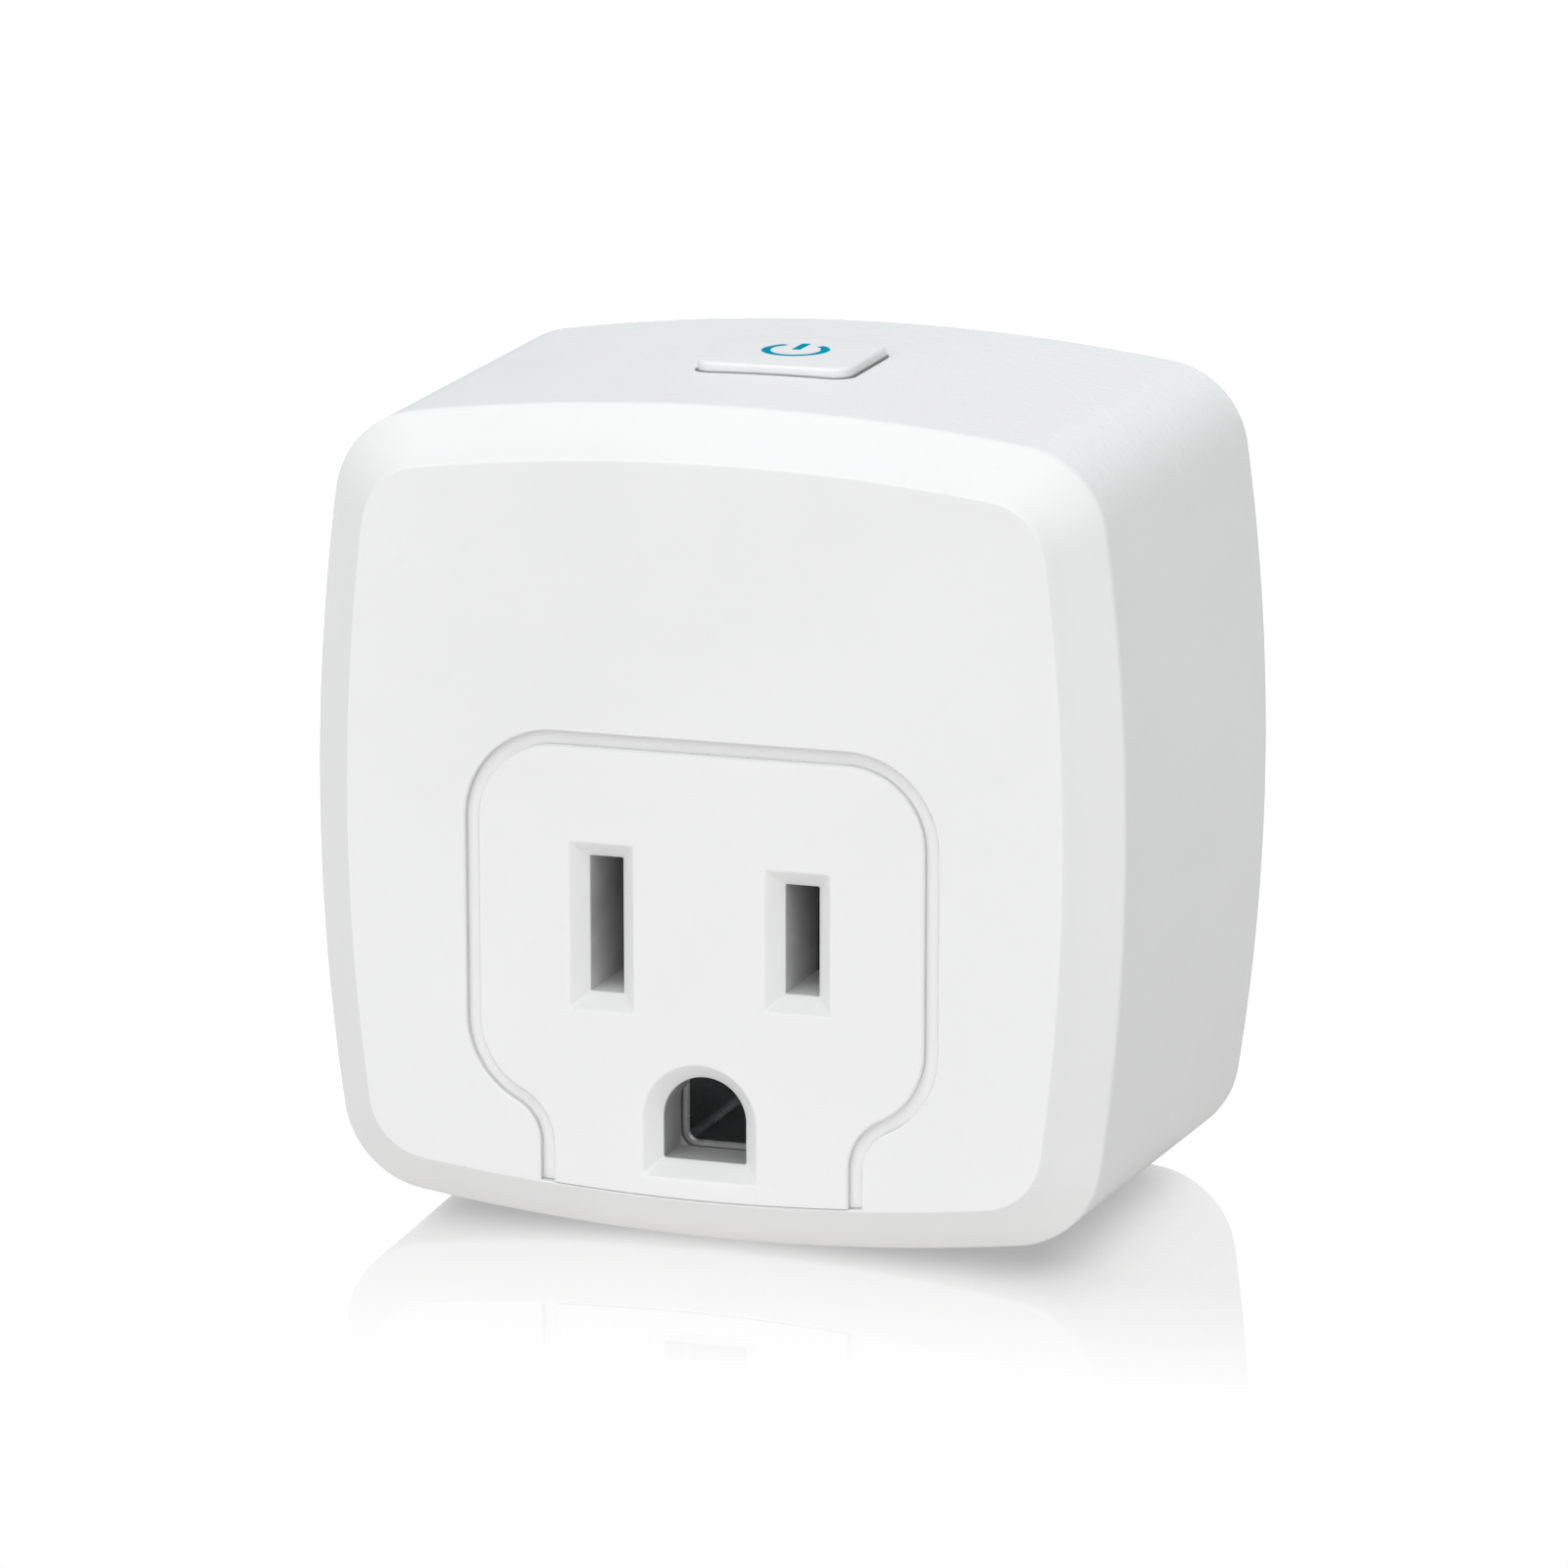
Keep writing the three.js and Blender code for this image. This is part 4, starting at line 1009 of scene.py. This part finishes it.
def dress_cad_nodes():
    """Gives every CAD node that is still shown its material and softened edges."""
    slots = {part["node"]: part["material_slot"] for part in frame["record"]["subparts"]}
    for name, node in NODES.items():
        if node.hide_render:
            continue
        slot_name = slots.get(name) or "black_moulding"
        node.data.materials.clear()
        node.data.materials.append(MATERIALS[slot_name])
        for polygon in node.data.polygons:
            polygon.material_index = 0
        weld = node.modifiers.new("weld", "WELD")
        weld.merge_threshold = 1e-6
        flat = node.modifiers.new("flat", "DECIMATE")
        flat.decimate_type = "DISSOLVE"
        flat.angle_limit = math.radians(1.0)
        bevel = node.modifiers.new("bevel", "BEVEL")
        bevel.width = 0.00012
        bevel.segments = 2
        bevel.limit_method = "ANGLE"
        bevel.angle_limit = math.radians(40)


# ---- Studio ---------------------------------------------------------------------------------

AZIMUTH, ELEVATION = math.radians(18.837), math.radians(12.768)
DISTANCE = 408.27
TARGET = (5.502, FACE_Y, 3.800)
FOCAL_LENGTH, SENSOR = 154.88, 36.0

FLOOR_SIZE, FLOOR_STEPS = 1500.0, 24
FLOOR_RISE = 0.5                        # the mirror's plane above the body's lowest edge
FLOOR_ALBEDO, FLOOR_GLOW = 0.35, 0.46
# rectangles on the floor: half width, middle y, half depth, in metres
SHADED_PATCH, CONTACT_PATCH = (0.021, -0.0145, 0.0105), (0.019, -0.0125, 0.0125)
SHADE, SHADE_REACH = 0.12, 0.006        # glow left under the body, and how far the loss reaches
MIRROR, MIRROR_START, MIRROR_END = 0.36, 0.032, 0.054
FADE_AZIMUTH = math.radians(8.0)        # the direction in which the reflection fades
CONTACT, CONTACT_SHADOW_TINT = 0.26, 0.25      # stronger reflection where the body stands, darkened there by a painted contact shadow
CONTACT_X, CONTACT_Y = 0.006, 0.008     # and how far that reaches
BACKDROP = 1.5                          # brightness of the backdrop in the mirror
SKY_LOW, SKY_HIGH = 0.0, 0.9
BACK_LIGHT = 0.42                       # backdrop mirrored in the satin plastic
BACK_START, BACK_FULL = 0.3, 0.9        # and how far round to the back it begins
KEY, KEY_SPREAD = 1.56, 80.0
KEY_DIRECTION = (0.05, -0.75, 0.66)
SKY_COLOUR, KEY_COLOUR = (0.96, 1.0, 1.01), (1.0, 0.99, 0.99)
GLOW_COLOUR = (1.02, 1.0, 0.99)


def studio():
    shell = Shell()
    floor_z = -BACK_HALF + FLOOR_RISE
    marks = [-FLOOR_SIZE + 2 * FLOOR_SIZE * i / FLOOR_STEPS for i in range(FLOOR_STEPS + 1)]
    grid = [shell.ring([(x, y, floor_z) for x in marks]) for y in marks]
    shell.strips(grid, closed=False)
    n = Nodes("studio_floor")
    towards = n.math(
        "ADD",
        n.math("MULTIPLY", n.axis(0), math.sin(FADE_AZIMUTH)),
        n.math("MULTIPLY", n.axis(1), -math.cos(FADE_AZIMUTH)),
    )

    def beyond(patch, reach_x, reach_y):
        """Distance outside a rectangle on the floor, in reaches."""
        half_x, middle_y, half_y = patch
        off = []
        sides = (0, 0.0, half_x, reach_x), (1, middle_y, half_y, reach_y)
        for axis, middle, half, reach in sides:
            aside = n.math("ABSOLUTE", n.math("SUBTRACT", n.axis(axis), middle), 0.0)
            past = n.math("SUBTRACT", aside, half)
            past = n.math("DIVIDE", n.math("MAXIMUM", past, 0.0), reach)
            off.append(n.math("MULTIPLY", past, past))
        return n.math("SQRT", n.math("ADD", *off), 0.0)

    # the floor as a light: it glows, less so under the body
    off_shade = beyond(SHADED_PATCH, SHADE_REACH, SHADE_REACH)
    open_floor = n.ramp(off_shade, 0.0, 1.0, SHADE, 1.0, True)
    smudge = n.ramp(n.noise(30.0), 0.3, 0.7, FLOOR_GLOW * 0.995, FLOOR_GLOW)
    n.shade(
        Base_Color=rgba(*[FLOOR_ALBEDO] * 3),
        Roughness=0.9,
        Specular_IOR_Level=0.0,
        Emission_Color=rgba(*GLOW_COLOUR),
        Emission_Strength=n.math("MULTIPLY", smudge, open_floor),
    )
    # the floor as the camera sees it: white gloss, the reflection fading towards the camera
    near = n.ramp(beyond(CONTACT_PATCH, CONTACT_X, CONTACT_Y), 0.0, 1.0, 1.0, 0.0, True)
    fade = n.ramp(towards, MIRROR_START, MIRROR_END, 1.0, 0.0)
    mirror = n.math("MULTIPLY", fade, MIRROR)
    mirror = n.math("ADD", mirror, n.math("MULTIPLY", near, CONTACT))
    gloss = n.add("ShaderNodeBsdfGlossy", Roughness=0.0)
    # painted contact shadow: near the body the reflection is tinted darker
    n.set(gloss.inputs["Color"], n.mix(near, rgba(1.0, 1.0, 1.0), rgba(*[1.0 - CONTACT_SHADOW_TINT] * 3)))
    white = n.add("ShaderNodeEmission", Strength=1.0)

    def mixed(factor, a, b):
        node = n.add("ShaderNodeMixShader")
        for socket, value in zip(node.inputs, (factor, a, b)):
            n.set(socket, value)
        return node.outputs[0]

    surface = mixed(
        n.add("ShaderNodeLightPath").outputs["Is Camera Ray"],
        n.shader.outputs[0],
        mixed(mirror, white.outputs[0], gloss.outputs[0]),
    )
    n.set(n.tree.nodes["Material Output"].inputs["Surface"], surface)
    floor = shell.build("studio_floor", n.material, body=None)

    backdrop()
    sun("key", KEY_DIRECTION, KEY, KEY_SPREAD)


def backdrop():
    """A sky that brightens upwards and lights the scene, behind a plain white backdrop."""
    world = bpy.data.worlds.new("studio")
    bpy.context.scene.world = world
    world.use_nodes = True
    tree = world.node_tree
    tree.nodes.clear()

    def add(kind, *values, operation=None):
        """A node with its first inputs set or linked."""
        node = tree.nodes.new(kind)
        if operation:
            node.operation = operation
        for socket, value in zip(node.inputs, values):
            if isinstance(value, bpy.types.NodeSocket):
                tree.links.new(value, socket)
            else:
                socket.default_value = value
        return node

    place = add("ShaderNodeTexCoord").outputs["Generated"]
    split = add("ShaderNodeSeparateXYZ", place)
    ray = add("ShaderNodeLightPath").outputs
    # the sky, with an extra light behind the body that only glossy surfaces see
    sky = add("ShaderNodeMapRange", split.outputs[2], 0.0, 1.0, SKY_LOW, SKY_HIGH)
    behind = add("ShaderNodeMapRange", split.outputs[1], BACK_START, BACK_FULL, 0.0, BACK_LIGHT)
    strength = add(
        "ShaderNodeMath", behind.outputs["Result"], ray["Is Glossy Ray"], sky.outputs["Result"],
        operation="MULTIPLY_ADD",
    )
    soft = add("ShaderNodeBackground", rgba(*SKY_COLOUR), strength.outputs[0])
    # the camera, and the mirror in the floor, see a plain white backdrop
    mirrored = add(
        "ShaderNodeMath", ray["Is Singular Ray"], BACKDROP - 1.0, 1.0, operation="MULTIPLY_ADD"
    )
    plain = add("ShaderNodeBackground", rgba(1.0, 1.0, 1.0), mirrored.outputs[0])
    direct = add(
        "ShaderNodeMath", ray["Is Camera Ray"], ray["Is Singular Ray"], operation="MAXIMUM"
    )
    blend = add("ShaderNodeMixShader", direct.outputs[0], soft.outputs[0], plain.outputs[0])
    output = tree.nodes.new("ShaderNodeOutputWorld")
    tree.links.new(blend.outputs[0], output.inputs["Surface"])


def sun(name, direction, strength, spread):
    light = bpy.data.lights.new(name, "SUN")
    light.energy = strength
    light.color = KEY_COLOUR
    light.angle = math.radians(spread)
    lamp = bpy.data.objects.new(name, light)
    bpy.context.scene.collection.objects.link(lamp)
    lamp.rotation_euler = Vector(direction).to_track_quat("Z", "Y").to_euler()


def camera():
    target = Vector([c * MM for c in TARGET])
    away = Vector((
        math.sin(AZIMUTH) * math.cos(ELEVATION),
        -math.cos(AZIMUTH) * math.cos(ELEVATION),
        math.sin(ELEVATION),
    ))
    lens = bpy.data.cameras.new("camera")
    lens.lens = FOCAL_LENGTH
    lens.sensor_width = SENSOR
    lens.clip_start = 0.01
    eye = bpy.data.objects.new("camera", lens)
    bpy.context.scene.collection.objects.link(eye)
    eye.location = target + away * (DISTANCE * MM)
    eye.rotation_euler = away.to_track_quat("Z", "Y").to_euler()
    bpy.context.scene.camera = eye


housing()
socket_panel()
ground_contact()
rear_cover()
cover_screws()
blade("neutral_blade_flat", "neutral_blade", NEUTRAL_X, NEUTRAL_BLADE_HALF)
blade("line_blade_flat", "line_blade", LINE_X, LINE_BLADE_HALF)
ground_pin()
button_cap()
symbol()
dress_cad_nodes()
studio()
camera()
bpy.context.scene.view_settings.view_transform = "Standard"
